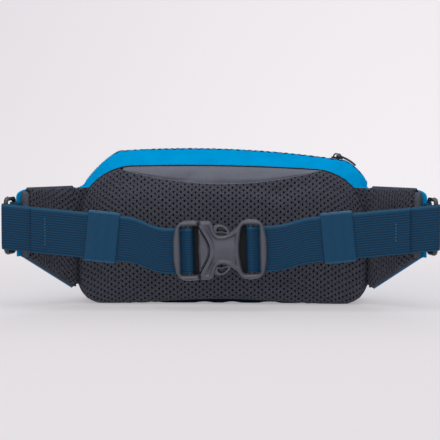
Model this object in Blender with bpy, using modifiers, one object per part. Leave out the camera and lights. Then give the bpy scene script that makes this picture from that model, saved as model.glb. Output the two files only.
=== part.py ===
"""Waist pack with a padded back, a top zip, a front pocket, two hip wings and a buckled belt.

Metres, +Z up. The wearer's side faces -Y and the bag's front faces +Y.
Everything is laid out in the panel frame, whose y = 0 is the back seam, and an
empty called panel_frame carries it to the part's own frame, centred front to back.
"""
import math

import bmesh
import bpy
from mathutils import Matrix, Vector

# ---------------------------------------------------------------- bag body
HALF_WIDTH = 0.126
BACK_TOP = 0.1195           # height of the back seam at its peak
ZIP_TOP = 0.133             # height of the zip line at its peak
PEAK_X = -0.030             # where both lines peak
ZIP_ARC_RADIUS = 0.900      # the zip line is an arc of this radius
BACK_CROWN = 0.5            # share of the zip line's fall that the back seam has
BACK_SHOULDER = 0.050       # corner radius of the back seam, both sides
LEFT_SHOULDER = 0.034       # corner radius of the zip line on the left
RIGHT_SHOULDER = 0.020      # and on the right, where the closed slider rests
BOTTOM_CORNER = 0.022
BASE_LIFT = 0.004           # the back seam arches this far off the ground
BASE_START = 0.006          # the flat base begins this far in front of the back seam
SPLIT_HEIGHT = 0.100        # the top and lower gussets meet here, at the zip's ends
TOP_GUSSET_DEPTH = 0.033
BODY_DEPTH = 0.045          # back seam to front seam
FABRIC = 0.0010
GAP = 0.0003                # clearance between pieces that touch
SEAM_GAP = 0.0005           # clearance where two sheets meet at an angle
FRONT_SEAM_GAP = 0.0011     # the same where the front curves sharply into its edge

# ---------------------------------------------------------------- back pad
PAD_BULGE = 0.016
MESH_THICKNESS = 0.0012
FOAM_CLEARANCE = 0.0008
FOAM_BACK_Y = -0.0010
SCOOP_LOW = 0.104           # height of the mesh's top edge at the middle
SCOOP_RISE = 0.0125         # the edge climbs this far at the scoop's ends
SCOOP_HALF_WIDTH = HALF_WIDTH - 0.038
SCOOP_END_INSET = 0.0053    # the smooth panel ends this far inside the scoop's ends

# ---------------------------------------------------------------- front and pocket
FRONT_BULGE = 0.009
FRONT_FLAT_HALF = HALF_WIDTH - 0.046    # the front is flat across this half width
FOLD_HEIGHT = 0.098         # the front folds open along this line
FOLD_GAP = 0.0008
POCKET_HALF_WIDTH = HALF_WIDTH - 0.034
POCKET_BOTTOM = 0.010
POCKET_TOP = 0.066
POCKET_BULGE = 0.0065
POCKET_MOUTH_SHARE = 0.75   # share of the bulge left at the pocket's mouth
POCKET_MOUTH = 0.0045       # the tape slants back by this much from the mouth to the front
POCKET_TAPE_HEIGHT = 0.010
POCKET_TAPE_HALF = POCKET_HALF_WIDTH - 0.006
POCKET_COIL_HALF = POCKET_TAPE_HALF - 0.006
POCKET_SLIDER_X = POCKET_COIL_HALF - 0.012      # where the closed pocket slider rests

# ---------------------------------------------------------------- zips
TAPE = 0.0008
COIL_RADIUS = 0.0009
COIL_GAP = 0.0010           # between the two halves of the main coil
COIL_TAPE_GAP = 0.0003
SLIDER_LENGTH = 0.010
SLIDER_WALL = 0.0012
SLIDER_CLEARANCE = 0.0004
SLIDER_REST_X = HALF_WIDTH - 0.026      # where the closed main slider rests
BRIDGE_RADIUS = 0.0007
BRIDGE_HEIGHT = 0.0026
BRIDGE_SPAN = 0.0062
PULL_LENGTH = 0.017
PULL_WIDTH = 0.0062
PULL_THICKNESS = 0.0014
PULL_EYE_LENGTH = 0.0050
PULL_EYE_WIDTH = 0.0030
PULL_CROSSBAR = 0.0013       # width of the bar between the eye and the near end
PULL_CORNER = 0.0026
GARAGE_SIZE = (0.0012, 0.0130, 0.0070)

# ---------------------------------------------------------------- inside
LINING = 0.0006
LINING_INSET = 0.0035
LINING_HALF = HALF_WIDTH - 0.0065
LINING_END = HALF_WIDTH - 0.005     # the lining closes towards this half width
INNER_POCKET_HALF = LINING_HALF - 0.0445
INNER_POCKET_LOW = 0.020
INNER_POCKET_HIGH = 0.078
KEY_X = -(LINING_HALF - 0.0255)
KEY_TETHER_WIDTH = 0.010
KEY_TETHER_TOP = 0.097
KEY_BAR_HEIGHT = 0.082
KEY_RING_RADIUS = 0.0012
KEY_RING_SIZE = (0.0175, 0.0260)

# ---------------------------------------------------------------- belt
WEBBING_WIDTH = 0.038
WEBBING = 0.0015
LAYER_GAP = 0.0006          # clearance between two layers of webbing
BELT_Y = -0.060             # mid plane of the buckle and of the rings' outer bars
BELT_SLOPE = 0.10           # the webbing climbs towards the rings
TAIL_SHORT = 0.0215         # the tail ends this far short of the ring
KEEPER_SHORT = 0.0805       # and the keeper sits this far from it
KEEPER_WIDTH = 0.026
KEEPER_WALL = 0.0010
KEEPER_PLAY = 0.0005

# ---------------------------------------------------------------- buckle
BUCKLE_HEIGHT = 0.052       # height of the buckle's centre
BUCKLE_TILT = math.radians(1.6)     # the male half hangs a little lower
BUCKLE_THICKNESS = 0.012
BAR_X = 0.026               # adjuster bars, from the buckle's centre
BAR_RADIUS = 0.0022
SLOT_HALF_HEIGHT = 0.0206
SLOT_INNER_X = 0.0205
SLOT_OUTER_X = 0.0335
MOUTH_INNER = 0.0209        # half height inside the female's mouth
CHANNEL_DEPTH = 0.0070
CHANNEL_END_X = 0.0108
NOSE_X = -0.0086            # the male nose reaches this far at mid height
SEAM_EDGE_X = -0.0176       # the male and female meet here at the top and bottom
BUCKLE_GAP = 0.0004
PRONG_THICKNESS = 0.0064
PRONG_PIVOT = (-0.0118, 0.0130)

# ---------------------------------------------------------------- wings and rings
WING_ROOT_GAP = 0.0025      # the wing's hinge line is this far outside the back seam
WING_ROOT_Y = -0.0050
WING_REACH = (0.0395, -0.0373)      # from its root, a wing runs this way
WING_LENGTH = 0.0480        # the padded part
WING_TOP = 0.101
WING_ROOT_LOW = 0.015
WING_END_LOW = 0.043
WING_FOAM = 0.0066
WING_SHEET = 0.0010
HEM_WIDTH = 0.0050
SHELL_OVERHANG = 0.0090     # the outer shell runs past the pad and shows beyond the hem
RING_BAR = 0.0020           # radius of the ring's bars
RING_HEIGHT = 0.045         # between bar centres
RING_CORNER = 0.0035
RING_Z = 0.0715
RING_REACH = 0.0500         # from the wing's root to the ring's outer bar, along X
RING_INNER_ALONG = 0.0605   # inner bar, along the wing from its root
RING_INNER_OUT = 0.0024     # and out from the wing's middle
ANCHOR = 0.0012
ANCHOR_START = 0.018

LOOP_CLEARANCE = 0.0004     # between a bar and the webbing round it

WING_ROOT = (HALF_WIDTH + WING_ROOT_GAP, WING_ROOT_Y)
WING_END = (WING_ROOT[0] + WING_REACH[0], WING_ROOT[1] + WING_REACH[1])
RING_OUTER_X = WING_ROOT[0] + RING_REACH
TAIL_END_X = RING_OUTER_X - TAIL_SHORT
KEEPER_X = RING_OUTER_X - KEEPER_SHORT
BAR_LOOP = BAR_RADIUS + LOOP_CLEARANCE + WEBBING / 2
RING_LOOP = RING_BAR + LOOP_CLEARANCE + WEBBING / 2
ANCHOR_LOOP = RING_BAR + LOOP_CLEARANCE + ANCHOR / 2
LAYER_PITCH = WEBBING + LAYER_GAP
COIL_REAR_Y = TOP_GUSSET_DEPTH + 0.0055
COIL_FRONT_Y = COIL_REAR_Y + 2 * COIL_RADIUS + COIL_GAP
SLIDER_TOP = COIL_RADIUS + SLIDER_CLEARANCE + SLIDER_WALL
POCKET_TAPE_Y = BODY_DEPTH + FRONT_SEAM_GAP + FRONT_BULGE + GAP + TAPE
POCKET_TAPE_Z = POCKET_TOP + 2 * SEAM_GAP
POCKET_SLANT = math.atan2(POCKET_MOUTH, POCKET_TAPE_HEIGHT)
POCKET_COIL_OUT = GAP + COIL_RADIUS
POCKET_COIL_Y = POCKET_TAPE_Y + POCKET_MOUTH / 2 + POCKET_COIL_OUT * math.cos(POCKET_SLANT)
POCKET_COIL_Z = POCKET_TAPE_Z + POCKET_TAPE_HEIGHT / 2 + POCKET_COIL_OUT * math.sin(POCKET_SLANT)
FRONT_MOST = POCKET_COIL_Y + (SLIDER_TOP + BRIDGE_HEIGHT) * math.cos(POCKET_SLANT) + BRIDGE_RADIUS
REAR_MOST = BELT_Y - BUCKLE_THICKNESS / 2
FRAME_Y = -(FRONT_MOST + REAR_MOST) / 2

COLOURS = {
    "mesh": ((0.045, 0.048, 0.060), 0.85),
    "foam": ((0.020, 0.020, 0.022), 0.95),
    "woven_grey": ((0.130, 0.138, 0.165), 0.70),
    "bright_blue": ((0.002, 0.280, 0.610), 0.45),
    "navy": ((0.006, 0.042, 0.085), 0.55),
    "webbing": ((0.008, 0.041, 0.089), 0.60),
    "lining": ((0.300, 0.310, 0.330), 0.75),
    "zip_tape": ((0.005, 0.030, 0.060), 0.75),
    "coil": ((0.004, 0.020, 0.040), 0.40),
    "dark_metal": ((0.030, 0.030, 0.032), 0.35),
    "grey_plastic": ((0.075, 0.079, 0.100), 0.45),
}


# ================================================================ scene helpers
def clear_scene():
    """Remove every object, so that the script gives the same result each run."""
    for item in list(bpy.data.objects):
        bpy.data.objects.remove(item, do_unlink=True)


def make_collection(name):
    """A new collection in the scene."""
    collection = bpy.data.collections.new(name)
    bpy.context.scene.collection.children.link(collection)
    return collection


def make_material(name):
    """A Principled material from the COLOURS table."""
    colour, roughness = COLOURS[name]
    material = bpy.data.materials.new(name)
    material.use_nodes = True
    shader = material.node_tree.nodes["Principled BSDF"]
    shader.inputs["Base Color"].default_value = (*colour, 1.0)
    shader.inputs["Roughness"].default_value = roughness
    shader.inputs["Metallic"].default_value = 1.0 if name == "dark_metal" else 0.0
    return material


def add_object(name, data, finish, parent):
    """Link one named object to the part's collection, with its own material."""
    item = bpy.data.objects.new(name, data)
    PART.objects.link(item)
    item.parent = parent
    data.materials.append(make_material(finish))
    return item


def add_empty(name, location, parent=None, turn_y=0.0):
    """An empty that carries other pieces, turned about Y if asked."""
    item = bpy.data.objects.new(name, None)
    PART.objects.link(item)
    item.location = location
    item.rotation_euler = (0.0, turn_y, 0.0)
    item.parent = parent
    return item


def relative_to(points, origin):
    """Points moved so that origin becomes zero."""
    base = Vector(origin)
    return [Vector(point) - base for point in points]


# ================================================================ shape helpers
def mesh_from_rows(name, rows, cyclic=False):
    """An open sheet of quads through rows of points, joined end to end if cyclic."""
    mesh = bpy.data.meshes.new(name)
    built = bmesh.new()
    grid = [[built.verts.new(point) for point in row] for row in rows]
    pairs = list(zip(grid, grid[1:]))
    if cyclic:
        pairs.append((grid[-1], grid[0]))
    for low, high in pairs:
        for a, b, c, d in zip(low, low[1:], high[1:], high):
            built.faces.new((a, b, c, d))
    built.to_mesh(mesh)
    built.free()
    return mesh


def sheet(name, rows, finish, parent, thickness, offset=-1.0, cyclic=False, pivot=(0, 0, 0)):
    """A sheet of fabric: a quad surface with Solidify, measured from the pivot its parent is on."""
    rows = [relative_to(row, pivot) for row in rows]
    item = add_object(name, mesh_from_rows(name, rows, cyclic), finish, parent)
    item.data.shade_smooth()
    solid = item.modifiers.new("thickness", "SOLIDIFY")
    solid.thickness = thickness
    solid.offset = offset
    solid.use_even_offset = True
    solid.thickness_clamp = 0.0
    return item


def closed_pad(name, front, back, finish, parent):
    """A solid between two grids of the same size, closed round their edges."""
    mesh = bpy.data.meshes.new(name)
    built = bmesh.new()
    faces = []
    for rows, flip in ((front, False), (back, True)):
        grid = [[built.verts.new(point) for point in row] for row in rows]
        faces.append(grid)
        for low, high in zip(grid, grid[1:]):
            for a, b, c, d in zip(low, low[1:], high[1:], high):
                built.faces.new((d, c, b, a) if flip else (a, b, c, d))
    rims = [edge_loop(grid) for grid in faces]
    count = len(rims[0])
    for i in range(count):
        j = (i + 1) % count
        built.faces.new((rims[0][j], rims[0][i], rims[1][i], rims[1][j]))
    bmesh.ops.recalc_face_normals(built, faces=built.faces)
    built.to_mesh(mesh)
    built.free()
    item = add_object(name, mesh, finish, parent)
    item.data.shade_smooth()
    return item


def edge_loop(grid):
    """The vertices round the edge of a grid, in order."""
    bottom = grid[0]
    right = [row[-1] for row in grid[1:]]
    top = list(reversed(grid[-1][:-1]))
    left = [row[0] for row in reversed(grid[1:-1])]
    return bottom + right + top + left


def tube(name, points, radius, finish, parent, cyclic=False, sides=2):
    """A round bar along points: a POLY curve with a bevel and filled caps."""
    data = bpy.data.curves.new(name, "CURVE")
    data.dimensions = "3D"
    data.bevel_depth = radius
    data.bevel_resolution = sides
    data.use_fill_caps = True
    spline = data.splines.new("POLY")
    spline.points.add(len(points) - 1)
    for target, point in zip(spline.points, points):
        target.co = (*point, 1.0)
    spline.use_cyclic_u = cyclic
    return add_object(name, data, finish, parent)


def to_mesh_object(item):
    """Turn a curve object into a welded mesh object, so that Booleans can use it."""
    bpy.context.view_layer.update()
    graph = bpy.context.evaluated_depsgraph_get()
    mesh = bpy.data.meshes.new_from_object(item.evaluated_get(graph))
    built = bmesh.new()
    built.from_mesh(mesh)
    bmesh.ops.remove_doubles(built, verts=built.verts, dist=0.000001)
    bmesh.ops.recalc_face_normals(built, faces=built.faces)
    built.to_mesh(mesh)
    built.free()
    name = item.name
    parent = item.parent
    place = item.matrix_basis.copy()
    bpy.data.objects.remove(item, do_unlink=True)
    solid = bpy.data.objects.new(name, mesh)
    PART.objects.link(solid)
    solid.parent = parent
    solid.matrix_basis = place
    return solid


def plate(name, loops, thickness, finish, parent, rounding=0.0):
    """A flat plate in the XZ plane: filled outlines, the first outer and the rest holes."""
    data = bpy.data.curves.new(name, "CURVE")
    data.dimensions = "2D"
    data.fill_mode = "BOTH"
    data.extrude = thickness / 2 - rounding
    data.bevel_depth = rounding
    data.bevel_resolution = 1
    data.offset = -rounding
    for loop in loops:
        spline = data.splines.new("POLY")
        spline.points.add(len(loop) - 1)
        for target, (x, z) in zip(spline.points, loop):
            target.co = (x, z, 0.0, 1.0)
        spline.use_cyclic_u = True
    item = add_object(name, data, finish, parent)
    item.rotation_euler = (math.pi / 2, 0.0, 0.0)
    return to_mesh_object(item)


def block(name, size, centre, parent, collection=None):
    """A box of the given size, from Blender's cube."""
    bpy.ops.mesh.primitive_cube_add(size=1.0, location=centre)
    item = bpy.context.active_object
    item.name = name
    item.data.transform(Matrix.Diagonal((*size, 1.0)))
    for holder in list(item.users_collection):
        holder.objects.unlink(item)
    (collection or PART).objects.link(item)
    item.parent = parent
    return item


def hide_tool(item):
    """Keep a cutter or a joined shape out of the part."""
    for holder in list(item.users_collection):
        holder.objects.unlink(item)
    TOOLS.objects.link(item)
    item.hide_render = True
    item.display_type = "WIRE"
    return item


def combine(item, other, operation):
    """Cut other from item, or join it on, with an exact Boolean."""
    hide_tool(other)
    step = item.modifiers.new(operation.lower(), "BOOLEAN")
    step.operation = operation
    step.solver = "EXACT"
    step.object = other


def soften(item, width, segments=2):
    """Round an object's sharp edges."""
    bevel = item.modifiers.new("rounding", "BEVEL")
    bevel.width = width
    bevel.segments = segments
    bevel.limit_method = "ANGLE"
    bevel.angle_limit = math.radians(40)


def arc(centre, radius, start, end, steps):
    """Points on an arc in a plane, angles in degrees."""
    points = []
    for i in range(steps + 1):
        angle = math.radians(start + (end - start) * i / steps)
        points.append((centre[0] + radius * math.cos(angle), centre[1] + radius * math.sin(angle)))
    return points


def rounded_rectangle(width, height, corner, steps=4):
    """A closed outline centred on zero."""
    x = width / 2 - corner
    z = height / 2 - corner
    outline = []
    for sx, sz, start in ((1, 1, 0), (-1, 1, 90), (-1, -1, 180), (1, -1, 270)):
        outline += arc((sx * x, sz * z), corner, start, start + 90, steps)
    return outline


def smooth_through(points, steps, closed=False):
    """A Catmull-Rom curve through points, with the given steps on each span."""
    count = len(points)
    spans = count if closed else count - 1
    result = []
    for i in range(spans):
        if closed:
            p0, p1, p2, p3 = (points[(i + k) % count] for k in (-1, 0, 1, 2))
        else:
            p0, p1, p2, p3 = (points[min(max(i + k, 0), count - 1)] for k in (-1, 0, 1, 2))
        for j in range(steps):
            t = j / steps
            result.append(tuple(catmull_rom(a, b, c, d, t) for a, b, c, d in zip(p0, p1, p2, p3)))
    if not closed:
        result.append(tuple(points[-1]))
    return result


def catmull_rom(a, b, c, d, t):
    """One coordinate of a Catmull-Rom span."""
    return 0.5 * (2 * b + (c - a) * t + (2 * a - 5 * b + 4 * c - d) * t * t
                  + (3 * b - a - 3 * c + d) * t ** 3)


def ease(value, low, high):
    """0 below low, 1 above high and smooth between."""
    t = min(max((value - low) / (high - low), 0.0), 1.0)
    return t * t * (3 - 2 * t)


def cosine_steps(count, low=0.0, high=1.0):
    """Values from low to high, closer together near both ends."""
    return [low + (high - low) * (1 - math.cos(math.pi * i / count)) / 2 for i in range(count + 1)]


# ================================================================ the bag's outline
def mix(y, back, zip_line):
    """A size at depth y, between its value at the back seam and at the zip."""
    t = min(max(y / TOP_GUSSET_DEPTH, 0.0), 1.0)
    return back + (zip_line - back) * math.sin(t * math.pi / 2)


def top_line(x, y):
    """Height of the outline's crowned top, before its shoulders."""
    fall = (x - PEAK_X) ** 2 / (2 * ZIP_ARC_RADIUS)
    return mix(y, BACK_TOP, ZIP_TOP) - mix(y, BACK_CROWN, 1.0) * fall


def shoulder(y, side):
    """The shoulder's radius and where it starts, on the side given as -1 or 1."""
    radius = mix(y, BACK_SHOULDER, RIGHT_SHOULDER if side > 0 else LEFT_SHOULDER)
    return radius, HALF_WIDTH - radius


def top_height(x, y):
    """Height of the outline's top edge above x, shoulders included."""
    radius, start = shoulder(y, 1 if x > 0 else -1)
    if abs(x) <= start:
        return top_line(x, y)
    corner = top_line(math.copysign(start, x), y) - radius
    reach = min(abs(x) - start, radius)
    return corner + math.sqrt(radius ** 2 - reach ** 2)


def bottom_height(x, y):
    """Height of the outline's bottom edge below x, corners included."""
    lift = BASE_LIFT * max(0.0, 1 - y / BASE_START) * math.cos(math.pi * min(abs(x) / 0.2, 0.5)) ** 2
    start = HALF_WIDTH - BOTTOM_CORNER
    if abs(x) <= start:
        return lift
    reach = min(abs(x) - start, BOTTOM_CORNER)
    return lift + BOTTOM_CORNER - math.sqrt(BOTTOM_CORNER ** 2 - reach ** 2)


def outline_stretch(y, upper, count):
    """Evenly spaced points of the outline at depth y, above or below the split height."""
    height = top_height if upper else bottom_height
    across = [HALF_WIDTH * math.sin(math.pi / 2 * i / 60) for i in range(-60, 61)]
    dense = [Vector((-HALF_WIDTH, y, SPLIT_HEIGHT))]
    for x in across:
        dense.append(Vector((x, y, height(x, y))))
    dense.append(Vector((HALF_WIDTH, y, SPLIT_HEIGHT)))
    if upper:
        dense = clip_below(dense)
    return resample(dense, count)


def clip_below(points):
    """Drop the ends of a polyline that lie below the split height."""
    kept = [point for point in points[1:-1] if point.z > SPLIT_HEIGHT]
    first = points.index(kept[0])
    last = points.index(kept[-1])
    return [at_split(points[first - 1], kept[0])] + kept + [at_split(points[last + 1], kept[-1])]


def at_split(low, high):
    """The point between low and high at the split height."""
    if high.z - low.z < 1e-9 or low.z >= SPLIT_HEIGHT:
        return low
    return low.lerp(high, (SPLIT_HEIGHT - low.z) / (high.z - low.z))


def resample(points, count):
    """A polyline's points spread evenly along its length."""
    lengths = [0.0]
    for a, b in zip(points, points[1:]):
        lengths.append(lengths[-1] + (b - a).length)
    result = []
    span = 0
    for i in range(count + 1):
        target = lengths[-1] * i / count
        while span < len(points) - 2 and lengths[span + 1] < target:
            span += 1
        step = lengths[span + 1] - lengths[span]
        share = (target - lengths[span]) / step if step > 0 else 0.0
        result.append(points[span].lerp(points[span + 1], min(max(share, 0.0), 1.0)))
    return result


# ================================================================ bag body
def build_gussets(frame):
    """The blue top strip, the navy sides and base, as two sheets round the outline."""
    top_rows = [outline_stretch(y, True, 30) for y in (SEAM_GAP, 0.009, 0.021, TOP_GUSSET_DEPTH)]
    trimmed = [trim_ends(row) for row in top_rows]
    sheet("top_gusset", trimmed, "bright_blue", frame, FABRIC)
    depths = (SEAM_GAP, BASE_START, 0.026, BODY_DEPTH)
    low_rows = [trim_ends(outline_stretch(y, False, 44)) for y in depths]
    sheet("lower_gusset", [row[::-1] for row in low_rows], "navy", frame, FABRIC)


def trim_ends(row):
    """Pull a row's two ends back by half the clearance, so neighbours don't touch."""
    row = list(row)
    row[0] = row[0] + (row[1] - row[0]).normalized() * SEAM_GAP / 2
    row[-1] = row[-1] + (row[-2] - row[-1]).normalized() * SEAM_GAP / 2
    return row


def front_y(x, z, bulge):
    """Depth of the front's outer face at a point, flat in the middle and rounded at its edges."""
    low = bottom_height(x, BODY_DEPTH)
    high = top_height(x, BODY_DEPTH)
    t = min(max((z - low) / max(high - low, 1e-6), 0.0), 1.0)
    past = max(abs(x) - FRONT_FLAT_HALF, 0.0) / (HALF_WIDTH - FRONT_FLAT_HALF)
    across = math.sqrt(max(1 - past ** 2, 0.0))
    return BODY_DEPTH + FRONT_SEAM_GAP + bulge * math.sqrt(max(1 - abs(2 * t - 1) ** 4, 0.0)) * across


def build_front(frame, fold_frame):
    """The front panel, cut along the fold line into a fixed part and an opening flap."""
    columns = [HALF_WIDTH * math.sin(math.pi / 2 * i / 11) for i in range(-11, 12)]
    for name, upper in (("front_panel_lower", False), ("front_panel_upper", True)):
        rows = []
        for t in cosine_steps(12):
            row = []
            for x in columns:
                low = bottom_height(x, BODY_DEPTH)
                z = low + (top_height(x, BODY_DEPTH) - low) * t
                row.append(Vector((x, front_y(x, z, FRONT_BULGE), z)))
            rows.append(row)
        finish = "bright_blue" if upper else "navy"
        item = sheet(name, [row[::-1] for row in rows], finish, frame, FABRIC)
        cut_sheet(item, FOLD_HEIGHT + (FOLD_GAP / 2 if upper else -FOLD_GAP / 2), keep_above=upper)
        if upper:
            item.data.transform(Matrix.Translation(-Vector(fold_pivot())))
            item.parent = fold_frame


def fold_pivot():
    """A point on the fold line's axis, on the front's outer face."""
    return (0.0, front_y(0.0, FOLD_HEIGHT, FRONT_BULGE), FOLD_HEIGHT)


def cut_sheet(item, height, keep_above):
    """Cut a sheet's open surface at a height and keep one side."""
    built = bmesh.new()
    built.from_mesh(item.data)
    parts = list(built.verts) + list(built.edges) + list(built.faces)
    bmesh.ops.bisect_plane(built, geom=parts, dist=1e-7, plane_co=(0, 0, height), plane_no=(0, 0, 1),
                           clear_inner=keep_above, clear_outer=not keep_above)
    bmesh.ops.remove_doubles(built, verts=built.verts, dist=0.00005)
    built.to_mesh(item.data)
    built.free()


def build_front_pocket(frame):
    """The front pocket: a bulged cover sewn to the front, with a zip along its top."""
    rows = []
    for t in cosine_steps(8):
        row = []
        for x in cosine_steps(16, -POCKET_HALF_WIDTH, POCKET_HALF_WIDTH):
            z = POCKET_BOTTOM + (POCKET_TOP - POCKET_BOTTOM) * t
            across = math.sqrt(max(1 - (x / POCKET_HALF_WIDTH) ** 6, 0.0))
            rise = math.sqrt(max(1 - abs(1 - t) ** 4, 0.0)) - (1 - POCKET_MOUTH_SHARE) * ease(t, 0.5, 1.0)
            y = front_y(x, z, FRONT_BULGE) + SEAM_GAP + FABRIC + POCKET_BULGE * across * rise
            row.append(Vector((x, y, z)))
        rows.append(row[::-1])
    sheet("front_pocket_panel", rows, "bright_blue", frame, FABRIC)
    tape_edges = ((POCKET_TAPE_Y + POCKET_MOUTH, POCKET_TAPE_Z),
                  (POCKET_TAPE_Y, POCKET_TAPE_Z + POCKET_TAPE_HEIGHT))
    tape_rows = []
    for y, z in tape_edges:
        tape_rows.append([Vector((x, y, z)) for x in (POCKET_TAPE_HALF, 0.0, -POCKET_TAPE_HALF)])
    sheet("front_pocket_tape", tape_rows, "zip_tape", frame, TAPE)
    coil_ends = [(x, POCKET_COIL_Y, POCKET_COIL_Z) for x in (-POCKET_COIL_HALF, POCKET_COIL_HALF)]
    tube("front_pocket_coil", coil_ends, COIL_RADIUS, "coil", frame)
    carrier = add_empty("pocket_slider_frame", (POCKET_SLIDER_X, POCKET_COIL_Y, POCKET_COIL_Z), frame)
    carrier.rotation_euler = (POCKET_SLANT - math.pi / 2, 0.0, 0.0)
    build_slider("front_pocket_slider", carrier, COIL_RADIUS)
    build_pull("front_pocket_pull", carrier, points_left=True)


# ================================================================ zips
def build_main_zip(frame, fold_frame):
    """Two tapes and two coil halves along the arched zip line; the front ones fold with the flap."""
    pivot = fold_pivot()
    tape_edges = (
        ("zip_tape_rear", TOP_GUSSET_DEPTH + SEAM_GAP, COIL_REAR_Y - COIL_RADIUS - COIL_TAPE_GAP),
        ("zip_tape_front", COIL_FRONT_Y + COIL_RADIUS + COIL_TAPE_GAP, BODY_DEPTH),
    )
    for name, start, end in tape_edges:
        rows = [trim_ends(outline_stretch(y, True, 36)) for y in (start, end)]
        carrier, base = (fold_frame, pivot) if name.endswith("front") else (frame, (0, 0, 0))
        sheet(name, rows, "zip_tape", carrier, TAPE, offset=0.0, pivot=base)
    for name, y, carrier, base in (("zip_coil_rear", COIL_REAR_Y, frame, (0, 0, 0)),
                                   ("zip_coil_front", COIL_FRONT_Y, fold_frame, pivot)):
        points = relative_to(trim_ends(outline_stretch(y, True, 40)), base)
        tube(name, points, COIL_RADIUS, "coil", carrier, sides=1)
    for name, side in (("zip_garage_left", -1), ("zip_garage_right", 1)):
        x = side * (HALF_WIDTH + GAP + GARAGE_SIZE[0] / 2)
        y = BODY_DEPTH - GARAGE_SIZE[1] / 2
        z = SPLIT_HEIGHT - SEAM_GAP - GARAGE_SIZE[2] / 2
        tab = block(name, GARAGE_SIZE, (x, y, z), frame)
        tab.data.materials.append(make_material("navy"))
        soften(tab, 0.0004)


def build_slider(name, frame, coil_half):
    """A saddle over the coil, with a bridge for its pull. Local x runs along the zip, z out of it."""
    inner = coil_half + SLIDER_CLEARANCE
    width = 2 * (inner + SLIDER_WALL)
    low = TAPE / 2 + SLIDER_CLEARANCE if coil_half > COIL_RADIUS else -COIL_RADIUS + GAP / 2
    top = SLIDER_TOP
    body = block(name, (SLIDER_LENGTH, width, top - low), (0, 0, (top + low) / 2), frame)
    body.data.materials.append(make_material("dark_metal"))
    roof = COIL_RADIUS + SLIDER_CLEARANCE
    channel = block(name + "_channel", (2 * SLIDER_LENGTH, 2 * inner, 2 * (roof - low)), (0, 0, low), frame)
    combine(body, channel, "DIFFERENCE")
    half = BRIDGE_SPAN / 2
    rise = [(-half, top - 0.0004), (-half, top + BRIDGE_HEIGHT * 0.6), (-half * 0.6, top + BRIDGE_HEIGHT),
            (half * 0.6, top + BRIDGE_HEIGHT), (half, top + BRIDGE_HEIGHT * 0.6), (half, top - 0.0004)]
    bridge = tube(name + "_bridge", [(x, 0.0, z) for x, z in rise], BRIDGE_RADIUS, "dark_metal", frame)
    combine(body, to_mesh_object(bridge), "UNION")


def build_pull(name, frame, points_left):
    """A pull tab whose crossbar lies under the slider's bridge, with its origin on the crossbar."""
    pivot_z = SLIDER_TOP + BRIDGE_HEIGHT - BRIDGE_RADIUS - PULL_THICKNESS / 2 - GAP
    tab_middle = (PULL_LENGTH - PULL_CROSSBAR) / 2
    eye_middle = (PULL_EYE_LENGTH + PULL_CROSSBAR) / 2
    outer = [(x + tab_middle, y) for x, y in rounded_rectangle(PULL_LENGTH, PULL_WIDTH, PULL_CORNER, 3)]
    eye = [(x + eye_middle, y) for x, y in rounded_rectangle(PULL_EYE_LENGTH, PULL_EYE_WIDTH, 0.0010, 2)]
    tab = plate(name, [outer, eye], PULL_THICKNESS, "dark_metal", frame)
    tab.rotation_euler = (0.0, math.pi if points_left else 0.0, 0.0)
    tab.location = (0.0, 0.0, pivot_z)


def build_main_slider(frame):
    """The main slider and pull at the zip's right end, carried by the centre of the zip's arc."""
    y = (COIL_REAR_Y + COIL_FRONT_Y) / 2
    slope = math.asin((SLIDER_REST_X - PEAK_X) / ZIP_ARC_RADIUS)
    arc_frame = add_empty("zip_arc_frame", (PEAK_X, y, ZIP_TOP - ZIP_ARC_RADIUS), frame, turn_y=slope)
    carrier = add_empty("slider_frame", (0.0, 0.0, ZIP_ARC_RADIUS), arc_frame)
    half = (COIL_FRONT_Y - COIL_REAR_Y) / 2 + COIL_RADIUS
    build_slider("zip_slider", carrier, half)
    build_pull("zip_pull", carrier, points_left=False)


# ================================================================ inside
def build_inside(frame):
    """The loose lining, its slip pocket and the key hook on its tether."""
    columns = [LINING_HALF * math.sin(math.pi / 2 * i / 9) for i in range(-9, 10)]
    rows = []
    for x in columns:
        shrink = math.sqrt(1 - (abs(x) / LINING_END) ** 8)
        rows.append([Vector((x, y, 0.05 + (z - 0.05) * shrink)) for y, z in lining_section(x)])
    sheet("lining", rows, "lining", frame, LINING, offset=0.0)
    pocket_rows = []
    for t in (0.0, 0.2, 0.5, 0.8, 1.0):
        row = []
        for u in (-1.0, -0.8, -0.4, 0.0, 0.4, 0.8, 1.0):
            bow = 0.003 * (1 - u ** 4) * (0.3 + 0.7 * t) * min(1.0, 5 * t)
            z = INNER_POCKET_LOW + (INNER_POCKET_HIGH - INNER_POCKET_LOW) * t
            row.append(Vector((u * INNER_POCKET_HALF, LINING_INSET + 0.0010 + bow, z)))
        pocket_rows.append(row)
    sheet("inner_pocket", pocket_rows, "lining", frame, LINING, offset=1.0)
    build_key_hook(frame)


def lining_section(x):
    """The lining's (y, z) points at x, from the rear tape down, across and up the front."""
    inset = LINING_INSET
    top = top_height(x, 0.0)
    points = [(0.031, top_height(x, 0.031) - inset), (0.018, top_height(x, 0.018) - inset - 0.001),
              (0.006, top - inset - 0.003), (inset, top - 0.016), (inset, 0.060), (inset, 0.016),
              (0.010, 0.0045), (0.024, 0.004), (0.038, 0.0045)]
    for z in (0.016, 0.040, 0.066, 0.088):
        points.append((front_y(x, z, FRONT_BULGE) - inset, z))
    return points


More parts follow.
